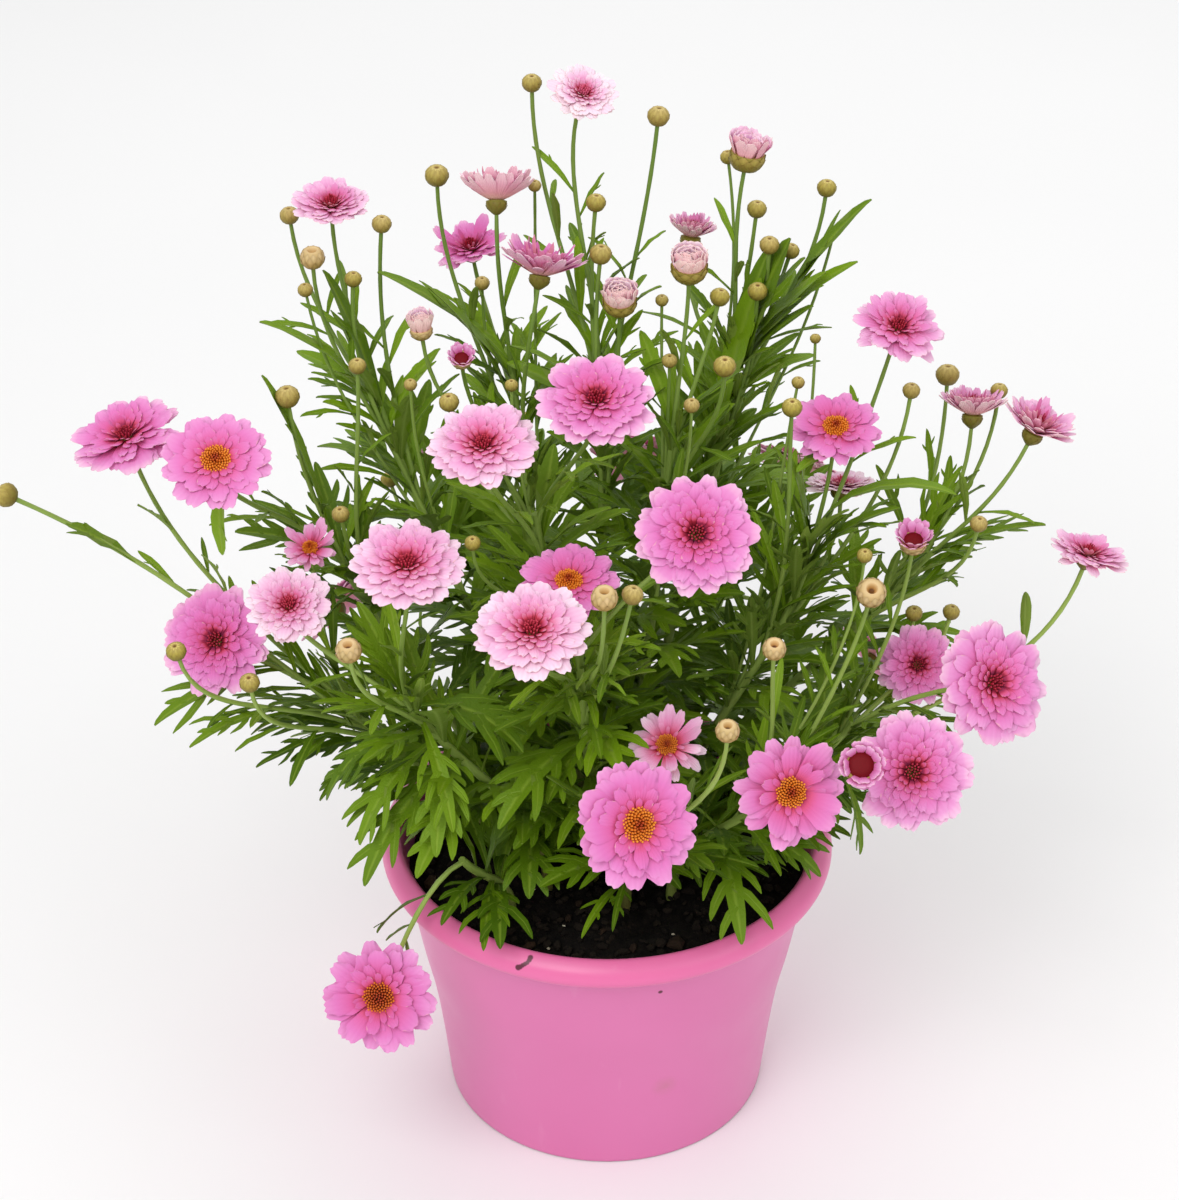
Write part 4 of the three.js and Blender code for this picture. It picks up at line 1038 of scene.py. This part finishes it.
class Plant:
    """Every shoot with its stem, heads, stalks and leaves, in millimetres."""

    def __init__(self):
        self.clearance = Clearance()
        self.stems = {}
        self.heads = []
        self.leaves = {name: [] for name in SHOOTS}
        for name, (*places, _) in SHOOTS.items():
            self.stems[name] = stem_of(*places)
            self.clearance.add_rod(self.stems[name], STEM_RADIUS, name, 0)
        for name, rows in HEADS.items():
            for row in rows:
                head = self.add_head(name, row)
                self.clearance.add_rod(head.stalk, STALK_RADIUS, name, STALK_START)
                self.clearance.add_head(head)
        self.grow_solid_leaves()
        for name, *row in SMALL_BUDS:
            self.add_head(name, ("bud", *row))
        self.grow_look_leaves()

    def add_head(self, name, row):
        order = sum(head.shoot == name for head in self.heads)
        self.heads.append(Head(name, self.stems[name], order, *row))
        return self.heads[-1]

    def host(self, name, number):
        """What bears a chosen leaf: the shoot's stem, or the stalk of one of its heads."""
        if number == 0:
            return self.stems[name]
        return [head.stalk for head in self.heads if head.shoot == name][number - 1]

    def grow_solid_leaves(self):
        """The same leaves as the part's, except that each stands on the smooth rod."""
        for name, rows in KEY_LEAVES.items():
            for number, share, *tip, bend in rows:
                rod = self.host(name, number)
                inset = STEM_INSET if number == 0 else 0.0
                self.clearance.add_leaf(leaf_to(tip, bend, inset, rod.on_solid(share)), name)
                leaf = leaf_to(tip, bend, inset, rod.point(share))
                leaf.breadth = 1.25 if bend > 45 else 1.1
                self.leaves[name].append(leaf)
        for number, (name, (*_, count)) in enumerate(SHOOTS.items()):
            for k in range(count):
                share = LEAF_START + (LEAF_END - LEAF_START) * (k + 0.5) / count
                self.grow_solid_leaf(name, number, k, share)

    def grow_solid_leaf(self, name, number, k, share):
        """Solid leaves stand round a shoot by the golden angle, each turned until it has room."""
        stem = self.stems[name]
        length = LEAF_LENGTH * (1.05 - 0.2 * share) * (0.85 + 0.3 * draw(k, number))
        fall = -0.5 + 1.1 * share + 0.3 * draw(k, number + 20)
        for attempt in range(LEAF_TRIES):
            heading = GOLDEN_ANGLE * (k + 3 * number) + TRY_TURN * attempt
            rise = LEAF_RISE - TRY_LOWER * attempt
            grown = length * (1 - TRY_SHORTER * attempt)
            leaf = Leaf(stem.on_solid(share), STEM_INSET, heading, rise, fall, grown)
            if self.clearance.allows(leaf, name):
                self.clearance.add_leaf(leaf, name)
                leaf.base = stem.point(share)
                self.leaves[name].append(leaf)
                return

    def grow_look_leaves(self):
        """The rest of the foliage: chosen leaves, then a dense rule along stems and stalks."""
        for name, rows in LOOK_LEAVES.items():
            for number, share, *tip, bend, breadth in rows:
                leaf = leaf_to(tip, bend, LOOK_INSET, self.host(name, number).point(share))
                leaf.breadth = breadth
                self.leaves[name].append(leaf)
        for number, name in enumerate(SHOOTS):
            self.dress_stem(name, number)
        for number, head in enumerate(self.heads):
            self.dress_stalk(head.shoot, head.stalk, number)

    def dress_stem(self, name, number):
        stem = self.stems[name]
        count = int(stem.length / STEM_LEAF_SPACING)
        for k in range(count):
            share = mixed(0.08, 1.0, (k + draw(k, number + 30)) / count)
            size = LEAF_LENGTH * (1.02 - 0.3 * share) * (0.7 + 0.45 * draw(k, number + 40))
            spread = mixed(1.15, 0.5, share) + 0.3 * (draw(k, number + 50) - 0.5)
            droop = mixed(1.3, 0.45, share) + 0.5 * (draw(k, number + 60) - 0.5)
            roll = 0.7 * (draw(k, number + 80) - 0.5)
            form = (spread, droop, size, roll, 1.0 + 0.65 * draw(k, number + 90))
            self.grow_look_leaf(name, stem, share, GOLDEN_ANGLE * (k + number), form, 0.08)

    def dress_stalk(self, name, stalk, number):
        reach = 0.66 if stalk.length > 60 else 0.5
        count = int(reach * stalk.length / STALK_LEAF_SPACING)
        for k in range(count):
            share = mixed(0.02, reach, (k + 0.7 * draw(number, k + 5)) / count)
            size = STALK_LEAF_LENGTH * (1.1 - 0.75 * share) * (0.7 + 0.55 * draw(number, k + 90))
            spread = 0.5 + 0.25 * draw(number, k + 20)
            droop = 0.2 + 0.5 * draw(number, k + 40)
            form = (spread, droop, size, 0.8 * (draw(number, k + 70) - 0.5), 1.0)
            self.grow_look_leaf(name, stalk, share, GOLDEN_ANGLE * (number + k), form, 0.0)

    def grow_look_leaf(self, name, rod, share, around, form, shorter):
        """Turns a leaf round its stem or stalk until it has room, or leaves it out."""
        spread, droop, size, roll, breadth = form
        for attempt in range(LOOK_TRIES):
            turned = around + LOOK_TRY_TURN * attempt
            leaf = leaf_on(rod, share, turned, spread, droop, size * (1 - shorter * attempt))
            if self.clearance.allows_look(leaf):
                leaf.roll = roll
                leaf.breadth = breadth
                self.leaves[name].append(leaf)
                return


# Buds, cups and heads


def add_lathe(piece, seat, rings, sides, slot, shade_of):
    """A closed body turned from (radius, height) rings."""
    middle, turn = seat
    rows = []
    for number, (radius, height) in enumerate(rings):
        shade = shade_of(number / (len(rings) - 1))
        places = [middle + turn @ Vector(polar(radius, angle, height)) for angle in circle(sides)]
        rows.append([piece.add(place, shade) for place in places])
    piece.skin(rows, slot)


def add_bracts(piece, head, rings, count, rows, looks, seed):
    """Overlapping bracts on a turned body, in rows of (start, end, lift) along its rings."""
    pale, high = looks
    total = len(rings) - 1
    for row, (start, end, lift) in enumerate(rows):
        for number in range(count):
            around = 2 * math.pi * (number + 0.5 * row) / count + 0.1 * draw(number, seed + row)
            own = draw(number, seed + 3 * row)
            blade = []
            for step in range(4):
                share = step / 3
                level = mixed(start, end, share) * total
                low = int(level)
                radius, height = (mixed(*ends, level - low) for ends in zip(rings[low], rings[low + 1]))
                half = (math.pi / count) * 1.15 * math.sqrt(max(0.04, 1 - share ** 2.2))
                points = []
                for t in (1.0, 0.0, -1.0):
                    angle = around + t * half
                    out = radius + lift * (1 - 0.45 * abs(t)) * (0.4 + 0.6 * share)
                    place = head.middle + head.turn @ Vector(polar(out, angle, height))
                    normal = head.turn @ Vector(polar(1.0, angle, 0.15))
                    edge = 1.0 if t or step == 3 else 0.0
                    points.append((place, normal, (high * level / total, pale, own, edge)))
                blade.append(points)
            add_blade(piece, blade, lift * 0.7, BUD_SLOT, BUD_SLOT)


# Rings of a bud as shares of its width: the closed body, one with a hole in its top, and a cup
BUD_RINGS = (
    (0.12, -0.43), (0.3, -0.36), (0.43, -0.18), (0.46, 0.02), (0.4, 0.2), (0.26, 0.33), (0.12, 0.36),
    (0.04, 0.3),
)
HOLLOW_RINGS = (
    (0.12, -0.43), (0.3, -0.36), (0.43, -0.18), (0.46, 0.02), (0.43, 0.18), (0.34, 0.33), (0.25, 0.38),
    (0.18, 0.33), (0.13, 0.14), (0.05, 0.1),
)
CUP_RINGS = (
    (0.12, -0.43), (0.32, -0.36), (0.45, -0.18), (0.475, -0.02), (0.465, 0.1), (0.4, 0.08), (0.1, 0.02),
)

# Bracts: how many stand in a row, then each row's start, end and lift
BUD_BRACTS = (9, ((0.05, 0.5, 0.045), (0.2, 0.72, 0.04), (0.42, 0.87, 0.03)))
OPEN_CUP_BRACTS = (10, ((0.05, 0.6, 0.04), (0.25, 0.8, 0.035), (0.5, 0.99, 0.03)))
CUP_BRACTS = (10, ((0.05, 0.62, 0.4), (0.25, 0.9, 0.35)))


def add_clad_body(piece, head, shape, size, bracts, looks, seed):
    """A turned body whose first few rings are clad in overlapping bracts, scaled to a size.

    Its looks are its own draw, how pale it is, and how far up the colours of a bud the body and
    the bracts go.
    """
    rings, sides, clad = shape
    own, pale, body_high, bracts_high = looks
    count, rows = bracts
    rings = [(radius * size, height * size) for radius, height in rings]
    rows = [(start, end, lift * size) for start, end, lift in rows]
    seat = (head.middle, head.turn)
    add_lathe(piece, seat, rings, sides, BUD_SLOT, lambda share: (body_high * share, pale, own, 0))
    add_bracts(piece, head, rings[:clad], count, rows, (pale, bracts_high), seed)


def add_bud(piece, head, seed):
    """A bud: a round body in overlapping bracts, closed, with a hole, or with the first petals."""
    own = draw(seed, 3)
    shape, pale = (BUD_RINGS, 14, 8), 0.45 * own
    if head.opened == HOLLOW:
        shape, pale = (HOLLOW_RINGS, 14, 7), 0.9
    elif head.opened:
        shape, pale = (CUP_RINGS, 14, 5), 0.75
    add_clad_body(piece, head, shape, head.width, BUD_BRACTS, (own, pale, 1.0, 0.9), seed)
    if head.opened in TUFTS:
        add_tuft(piece, head, TUFT_SLOTS, seed)


def add_open_cup(piece, head, seed):
    """The round cup of bracts under a half-open head."""
    looks = (draw(seed, 4), 0.15, 0.6, 0.6)
    add_clad_body(piece, head, (CUP_RINGS, 16, 5), head.width, OPEN_CUP_BRACTS, looks, seed)


def add_cup(piece, head, seed):
    """The green cup of bracts under an open bloom, in millimetres."""
    radius = min(CALYX_RADIUS, CALYX_SHARE * head.width)
    foot, seat = CUP_FOOT, -BLOOM_DEPTH
    rings = (
        (1.0, foot - 0.6), (0.45 * radius, foot + 0.3), (0.8 * radius, mixed(foot, seat, 0.3)),
        (radius, mixed(foot, seat, 0.65)), (1.02 * radius, seat), (0.5 * radius, seat + 0.6),
    )
    looks = (draw(seed, 4), 0.0, 0.35, 0.42)
    add_clad_body(piece, head, (rings, 14, 6), 1.0, CUP_BRACTS, looks, seed)


# Tufts: how far the petals spread, from a ball (-1) over a brush (0) to a ring with a dark core
# (1), and how high they stand as a share of the width
TUFTS = {
    PINK_HOLLOW: (1.0, 0.6), TUFT: (-0.6, 0.85), "head_01": (-0.8, 0.5), "head_02": (0.1, 0.6),
    "head_03": (-0.8, 0.5), "head_04": (1.0, 0.5),
}

# Rings of petals in a tuft: how many, and their root and reach as shares of its width
TUFT_RINGS = ((11, 0.38, 1.0), (10, 0.31, 0.96), (8, 0.22, 0.92), (6, 0.12, 0.88))


def add_tuft(piece, head, slots, seed):
    """The petals of a half-open head or of a bud that opens."""
    spread, height = TUFTS[head.opened or head.kind]
    width = head.width
    foot = head.middle + head.facing * (0.03 * width)
    has_core = spread > 0.5
    for level, (count, root, reach) in enumerate(TUFT_RINGS[:2] if has_core else TUFT_RINGS):
        for number in range(count):
            chance = draw(number + 20 * level, seed)
            around = 2 * math.pi * (number + 0.5 * level + 0.5 * chance) / count
            start = mixed(1.2, 1.25, spread) + 0.08 * level
            end = mixed(1.35, 0.85, spread) + 0.14 * level + 0.25 * (chance - 0.5)

            def shade_of(_, t, along, chance=chance):
                reached = mixed(0.34, 0.2, spread) + mixed(0.6, 0.72, spread) * along
                return reached, 0.5 + t / 2, chance, mixed(0.8, 0.25, spread)

            length = height * reach * width * (0.85 + 0.2 * chance)
            size = (root * width, length, mixed(0.2, 0.16, spread) * width, start, end)
            seat = (foot, head.turn, around)
            add_petal(piece, seat, size, (5, 5), shade_of, slots, seed + number + 30 * level)
    if has_core:
        core = 0.38 * width
        dome = ((core, 0.3), (0.9 * core, 0.08 * width), (0.5 * core, 0.11 * width), (0.1, 0.12 * width))
        seat = (foot, head.turn)
        add_lathe(piece, seat, dome, 14, slots[0], lambda _: (0, 0.5, 0, 0))
        add_florets(
            piece, seat, 40, (core, -0.5, 0.15 * width, 0.2), slots[0],
            lambda out, _, own: (0.07 * own * out, 0.5, 0, 0), seed,
        )


# Half the width of a petal along its length, as a share of its widest
PETAL_HALF = (
    (0.0, 0.36), (0.2, 0.52), (0.4, 0.7), (0.6, 0.88), (0.78, 1.0), (0.92, 0.97), (1.0, 0.82),
)


def add_petal(piece, seat, size, grid, shade_of, slots, seed):
    """A petal: narrow at its root, broad near its tip, which is round with a small notch.

    Its size is the root's distance, its length, half its width, and its angles at root and tip.
    """
    middle, turn, around = seat
    root, length, half, start, end = size
    columns, steps = grid
    bend = end - start if abs(end - start) > 1e-3 else 1e-3
    tips = PETAL_TIPS[columns]
    ahead, side = compass(around)
    lean = 0.4 * (draw(seed, 12) - 0.5)
    twist = 0.45 * (draw(seed, 13) - 0.5)
    notch = 0.7 + 0.6 * draw(seed, 14)
    rows = []
    for step in range(steps + 1):
        share = (step / steps) ** 0.85
        wide = half * between(PETAL_HALF, share)
        row = []
        for column in range(columns):
            t = 2 * column / (columns - 1) - 1
            reached = share - notch * (1 - tips[column]) * share ** 4
            out, up, normal = bent(ahead, start, bend, reached, length)
            across = t * wide
            ridge = 0.02 * half * math.cos(9.4 * t)
            cup = 0.16 * abs(across) * (1 - share) - 0.16 * half * share * t * t + ridge
            spot = ahead * (root + out) + UP * up + side * (across + lean * half * share)
            spot = spot + normal * (cup + twist * across * share)
            shade = shade_of(math.hypot(spot.x, spot.y), t, share)
            row.append((middle + turn @ spot, turn @ normal, shade))
        rows.append(row)
    add_blade(piece, rows, PETAL_THICKNESS, *slots)


# Rows of a floret's points: share of its height, and width as a share of its widest
FLORET_ROWS = ((0.0, 0.7), (0.6, 1.0), (0.9, 0.75))


def add_florets(piece, seat, count, form, slot, shade_of, seed):
    """Small blunt florets packed by the golden angle over a low dome.

    Its form is its radius, its base, its height and how far the tips lean out.
    """
    middle, turn = seat
    radius, base, height, tip_lean = form
    size = radius * 0.95 / math.sqrt(count)
    for k in range(count):
        out = math.sqrt((k + 0.5) / count)
        around = GOLDEN_ANGLE * k
        tall = (height * (1 - 0.55 * out ** 2) + 1) * (0.85 + 0.3 * draw(k, seed))
        foot = Vector(polar(radius * out, around, base - 1))
        tip = Vector(polar(tip_lean * out, around, tall))
        rows = []
        for share, wide in FLORET_ROWS:
            shade = shade_of(out, share, draw(k, seed + 1))
            row = []
            for angle in circle(5):
                place = foot + tip * share + Vector(polar(size * wide, angle + around))
                row.append(piece.add(middle + turn @ place, shade))
            rows.append(row)
        piece.skin(rows, slot)


def add_whorls(piece, head, whorls, looks, seed):
    """Every petal of a bloom, whorl by whorl; a steep bloom is a fuller and narrower bowl."""
    pale, loose, redder = looks
    radius = head.width / 2
    slope = math.atan(head.steepness)
    bowl = clamped(2 * head.steepness - 0.8)
    narrow = 1 - 0.16 * bowl - 0.2 * loose
    own_turn = draw(seed, 17) * 6
    for level, (count, reach, half, start, end, columns, steps) in enumerate(whorls):
        count = round(count * (1 - 0.25 * loose + 0.3 * bowl))
        for number in range(count):
            key = number + 20 * level
            chance, other = draw(key, seed + 1), draw(key, seed + 2)
            around = own_turn + 2 * math.pi * (number + 0.5 * (level % 2) + 0.6 * (chance - 0.5)) / count
            tilt = 0.9 * slope + (0.16 + 0.5 * loose) * (other - 0.5)
            first = start + tilt * (1 - 0.5 * bowl)
            last = end + tilt * (1 + 0.35 * bowl) + (0.2 + 1.2 * loose) * (draw(key, seed + 6) - 0.55)
            grown = reach * radius * mixed(0.93 if level == 0 else 0.84, 1.0, draw(key, seed + 9))
            root = min(0.12 * radius, 0.4 * grown)
            length = (grown - root) / max(0.3, math.cos((first + last) / 2))
            middle = head.middle + head.facing * (-BLOOM_DEPTH + 0.3 + 0.28 * level)
            wide = half * radius * narrow * (0.88 + 0.24 * other)

            def shade_of(distance, t, along, chance=other):
                away = distance / radius + 0.34 * (along - 0.72)
                return clamped(redder * away), 0.5 + t / 2, chance, pale

            seat = (middle, head.turn, around)
            size = (root, length, wide, first, last)
            own_seed = seed + number + 30 * level
            add_petal(piece, seat, size, (columns, steps), shade_of, PETAL_SLOTS, own_seed)


def add_bloom(piece, head, seed):
    """An open bloom with its petals and either an orange disc or a dark red heart."""
    number = int(head.kind[-2:])
    pale = PALE_BLOOMS.get(number, 0.15 * draw(seed, 8))
    loose = LOOSE_BLOOMS.get(number, 0.0)
    radius = head.width / 2
    seat = (head.middle, head.turn)
    if number in ORANGE_BLOOMS:
        add_whorls(piece, head, SINGLE_WHORLS, (pale, loose, 0.85), seed)
        bright = 0.5 if number in RED_DISCS else 1.0
        add_florets(
            piece, seat, 110, (0.26 * radius, -1.5, 3.4, 0.2), DISC_SLOT,
            lambda out, up, own: (bright * out, up, own, 0), seed,
        )
    else:
        faded = max(0.0, pale - 0.8)
        add_whorls(piece, head, DOUBLE_WHORLS, (pale, loose, 1 + 2 * faded), seed)
        rise = 2.4 + 0.5 * radius * min(head.steepness, 0.6)
        add_florets(
            piece, seat, 26, (0.11 * radius, -0.5, rise, 0.8), PETAL_SLOTS[0],
            lambda out, _, own: (0.02 + 0.1 * out + 0.6 * faded, 0.5, 0.2 * own, pale), seed,
        )


def make_head(head, seed):
    """An open bloom or a half-open head, apart from its green cup."""
    piece = Piece()
    if head.kind.startswith("bloom"):
        add_bloom(piece, head, seed)
    else:
        add_tuft(piece, head, PETAL_SLOTS, seed)
    piece.finish(head.kind + "_petals", BLOOM_LOOKS, NODE_SLOTS[head.kind], head.kind)


def make_shoot(plant, name, seed):
    """One shoot: its stem, stalks, leaves, buds and the cups under its heads."""
    piece = Piece()
    stem = plant.stems[name]
    woody = 0.9 if draw(seed, 2) > 0.4 else 0.4
    add_tube(piece, stem, (STEM_RADIUS, STEM_TIP_RADIUS), 12, draw(seed, 1), woody, STEM_DEPTH)
    for number, head in enumerate(plant.heads):
        if head.shoot != name:
            continue
        rod = head.stalk_from(stem, stem.point(head.share))
        thin = THIN_STALK if head.width < SMALL_BUD else 1.0
        add_tube(piece, rod, (STALK_RADIUS * thin, STALK_TIP_RADIUS * thin), 8, draw(number, 1))
        if head.kind == "bud":
            add_bud(piece, head, number)
        elif head.kind.startswith("head"):
            add_open_cup(piece, head, number)
        else:
            add_cup(piece, head, number)
    for number, leaf in enumerate(plant.leaves[name]):
        # Low leaves are darker, partly for age and partly as painted shade
        age_and_shade = clamped((leaf.base.z - YOUNG_AND_LIT_FROM) / YOUNG_AND_LIT_OVER)
        add_leaf(piece, leaf, seed * 60 + number, age_and_shade)
    piece.finish(name + "_foliage", SHOOT_LOOKS, "foliage", name)


# Pot and soil


def smooth_step(before, start, end, after, t):
    """A number on the smooth curve from one of four numbers in a row to the next."""
    bend = 2 * before - 5 * start + 4 * end - after
    twist = 3 * start - before - 3 * end + after
    return start + 0.5 * t * (end - before + t * (bend + t * twist))


def curved(points, steps=4):
    """A smooth line through a few profile points."""
    found = []
    padded = [points[0], *points, points[-1]]
    for corners in zip(padded, padded[1:], padded[2:], padded[3:]):
        for i in range(steps):
            found.append(tuple(smooth_step(*ends, i / steps) for ends in zip(*corners)))
    return found + [points[-1]]


def pot_profile():
    """The pot's wall from the middle of its underside round the lip to the middle inside."""
    inner_top = BODY_TOP_RADIUS - WALL
    inner_base = BASE_RADIUS - WALL
    underside = [(0.0, 0.0), (DRAIN_CIRCLE, 0.0), (BASE_RADIUS - BASE_EDGE, 0.0)]
    wall = curved([
        (BASE_RADIUS - 0.6, 0.35), (BASE_RADIUS, BASE_EDGE), (BASE_RADIUS + 1.6, 16.0),
        (BASE_RADIUS + 4.0, 37.0), (BODY_MIDDLE_RADIUS, BODY_MIDDLE_Z), (BODY_MIDDLE_RADIUS + 4.2, 77.0),
        (BODY_TOP_RADIUS - 3.6, 100.0), (BODY_TOP_RADIUS - 0.8, 113.0),
    ])
    lip = curved([
        (BODY_TOP_RADIUS, BODY_TOP_Z - 1), (BODY_TOP_RADIUS + 1.6, BODY_TOP_Z + 1.4),
        (LIP_RADIUS - 4, LIP_Z - 4.6), (LIP_RADIUS - 1, LIP_Z - 2.4), (LIP_RADIUS, LIP_Z + 0.6),
        (LIP_RADIUS - 1.6, LIP_Z + 4.6), (RIM_TOP_RADIUS + 0.6, RIM_TOP_Z - 0.4),
        (RIM_TOP_RADIUS - 1.6, RIM_TOP_Z - 0.2), (inner_top + 2.2, RIM_TOP_Z - 2.4),
        (inner_top + 0.7, RIM_TOP_Z - 8), (inner_top, BODY_TOP_Z - 1),
    ])
    inside = [
        (BODY_MIDDLE_RADIUS - WALL, BODY_MIDDLE_Z), (inner_base, BASE_EDGE + 3),
        (inner_base - 0.7, WALL + 0.5), (inner_base - 2, WALL), (DRAIN_CIRCLE, WALL), (0.0, WALL),
    ]
    return underside + wall + lip + inside


def make_pot():
    """The pot: one smooth turned wall that widens upwards to a slim rounded lip."""
    piece = Piece()
    rows = [piece.ring(radius, height, POT_SIDES) for radius, height in pot_profile()]
    for first, second in zip(rows, rows[1:]):
        piece.band(first, second, 0)
    pot = piece.finish("pot_smooth", (pot_material(),), "pot", "pot")
    for angle in circle(DRAIN_HOLES):
        cut_drain_hole(pot, angle)


def cut_drain_hole(pot, angle):
    place = polar(DRAIN_CIRCLE * MM, angle)
    bpy.ops.mesh.primitive_cylinder_add(vertices=32, radius=DRAIN_RADIUS * MM, depth=0.02, location=place)
    tool = bpy.context.object
    cut = pot.modifiers.new("drain_hole", "BOOLEAN")
    cut.object = tool
    cut.operation = "DIFFERENCE"
    cut.solver = "EXACT"
    bpy.context.view_layer.objects.active = pot
    bpy.ops.object.modifier_apply(modifier=cut.name)
    bpy.data.objects.remove(tool)


def make_soil():
    """Soil: it fills the pot under a crumbly mound, with loose crumbs, bark and perlite on it."""
    piece = Piece()
    rows = [piece.ring(0, soil_height(0, 0), SOIL_SIDES)]
    for number in range(1, SOIL_RINGS + 1):
        row = []
        for angle in circle(SOIL_SIDES):
            x, y, _ = polar(SOIL_EDGE_RADIUS * number / SOIL_RINGS, angle)
            rough = noise.fractal(Vector((x, y, 3.0)) * 0.16, 0.8, 2.1, 5) * 2.4
            rough += abs(noise.noise(Vector((x, y, 9.0)) * 0.5)) * 1.6
            row.append(piece.add((x, y, soil_height(x, y) + rough - 1.2), NO_SHADE))
        rows.append(row)
    inner_base = BASE_RADIUS - WALL
    rows.append(piece.ring(BODY_MIDDLE_RADIUS - WALL - 0.5, BODY_MIDDLE_Z, SOIL_SIDES))
    rows.append(piece.ring(inner_base - 0.7, BASE_EDGE + 4, SOIL_SIDES))
    rows.append(piece.ring(inner_base - 3, WALL + SOIL_GAP, SOIL_SIDES))
    for first, second in zip(rows, rows[1:]):
        piece.band(second, first, 0)
    piece.face(reversed(rows[-1]), 0)
    piece.finish("soil_mound", (soil_material(),), "soil", "soil")
    dark = crumb_material("soil_crumb", rgb(12, 10, 9), rgb(36, 29, 22), 0.95)
    bark = crumb_material("bark", rgb(28, 20, 14), rgb(58, 42, 30), 0.85)
    pale = crumb_material("perlite", rgb(160, 150, 130), rgb(206, 198, 176), 0.9)
    make_crumbs("soil_crumbs", 900, (0.8, 2.4), 1, dark)
    make_crumbs("bark_bits", 34, (1.6, 3.4), 2, bark)
    make_crumbs("perlite_specks", 18, (0.6, 1.6), 3, pale)


def twenty_faces():
    """The twelve corners of a body with twenty faces, and those faces."""
    golden = (1 + math.sqrt(5)) / 2
    corners = []
    for sign in (-1, 1):
        for other in (-golden, golden):
            corners += [Vector((0, sign, other)), Vector((sign, other, 0)), Vector((other, 0, sign))]
    corners = [corner.normalized() for corner in corners]
    edge = min((a - b).length for a, b in itertools.combinations(corners, 2)) * 1.1
    faces = []
    for i, j, k in itertools.combinations(range(12), 3):
        a, b, c = corners[i], corners[j], corners[k]
        if max((a - b).length, (b - c).length, (a - c).length) < edge:
            outward = (b - a).cross(c - a).dot(a + b + c) > 0
            faces.append((i, j, k) if outward else (i, k, j))
    return corners, faces


def make_crumbs(name, count, sizes, seed, material):
    """Irregular crumbs half sunk in the soil, placed by the golden angle with a seeded shake."""
    piece = Piece()
    corners, faces = twenty_faces()
    for number in range(count):
        chances = [draw(number, seed + step) for step in range(12)]
        radius = (SOIL_EDGE_RADIUS - 4) * math.sqrt((number + 0.5) / count)
        x, y, _ = polar(radius, GOLDEN_ANGLE * number + chances[0])
        x += 3 * (chances[4] - 0.5)
        y += 3 * (chances[5] - 0.5)
        size = mixed(*sizes, chances[6] ** 2)
        stretch = (1.4, 0.7 + 0.5 * chances[7], 0.55 + 0.3 * chances[8])
        turn = Matrix.Rotation(6.3 * chances[9], 3, "Z") @ Matrix.Rotation(0.8 * chances[10], 3, "X")
        middle = Vector((x, y, soil_height(x, y) + 0.3 * size))
        ids = []
        for index, corner in enumerate(corners):
            rough = 0.75 + 0.5 * draw(index + 12 * number, seed + 12)
            place = middle + turn @ Vector(c * s * size * rough for c, s in zip(corner, stretch))
            ids.append(piece.add(place, (0, 0, chances[11], 0)))
        for face in faces:
            piece.face((ids[corner] for corner in face), 0)
    made = piece.finish(name, (material,), "soil")
    made.data.polygons.foreach_set("use_smooth", [False] * len(made.data.polygons))


# Studio


def make_studio():
    bpy.ops.mesh.primitive_plane_add(size=7, location=(0, 0.8, -0.0005))
    floor = bpy.context.object
    floor.name = "studio_floor"
    look = Look("studio_floor", 0.9, 0.1)
    look.feed(look.shader, {"Base Color": look.mix(look.noise(3, 2), *FLOOR_LIGHTS)})
    floor.data.materials.append(look.material)
    world = bpy.data.worlds.new("studio_air")
    world.use_nodes = True
    air = world.node_tree.nodes["Background"].inputs
    air["Color"].default_value = (1, 1, 1, 1)
    air["Strength"].default_value = AIR_STRENGTH
    bpy.context.scene.world = world
    for light in LIGHTS:
        add_light(*light)
    bpy.context.scene.view_settings.view_transform = "Standard"


def add_light(name, place, size, power):
    data = bpy.data.lights.new(name, "AREA")
    data.energy = power
    data.size = size
    light = bpy.data.objects.new(name, data)
    light.location = place
    light.rotation_euler = (Vector(LIT_PLACE) - Vector(place)).to_track_quat("-Z", "Y").to_euler()
    bpy.context.scene.collection.objects.link(light)


def make_camera():
    data = bpy.data.cameras.new("camera")
    data.sensor_width = SENSOR
    data.lens = SENSOR * FOCAL_PIXELS / FRAME_HEIGHT
    camera = bpy.data.objects.new("camera", data)
    camera.location = [value * MM for value in CAMERA_PLACE]
    camera.rotation_euler = (math.radians(90 - CAMERA_DOWN), 0, 0)
    bpy.context.scene.collection.objects.link(camera)
    bpy.context.scene.camera = camera


make_camera()
make_studio()
make_pot()
make_soil()
plant = Plant()
for seed, name in enumerate(SHOOTS):
    make_shoot(plant, name, seed)
for seed, head in enumerate(plant.heads):
    if head.kind != "bud":
        make_head(head, seed)
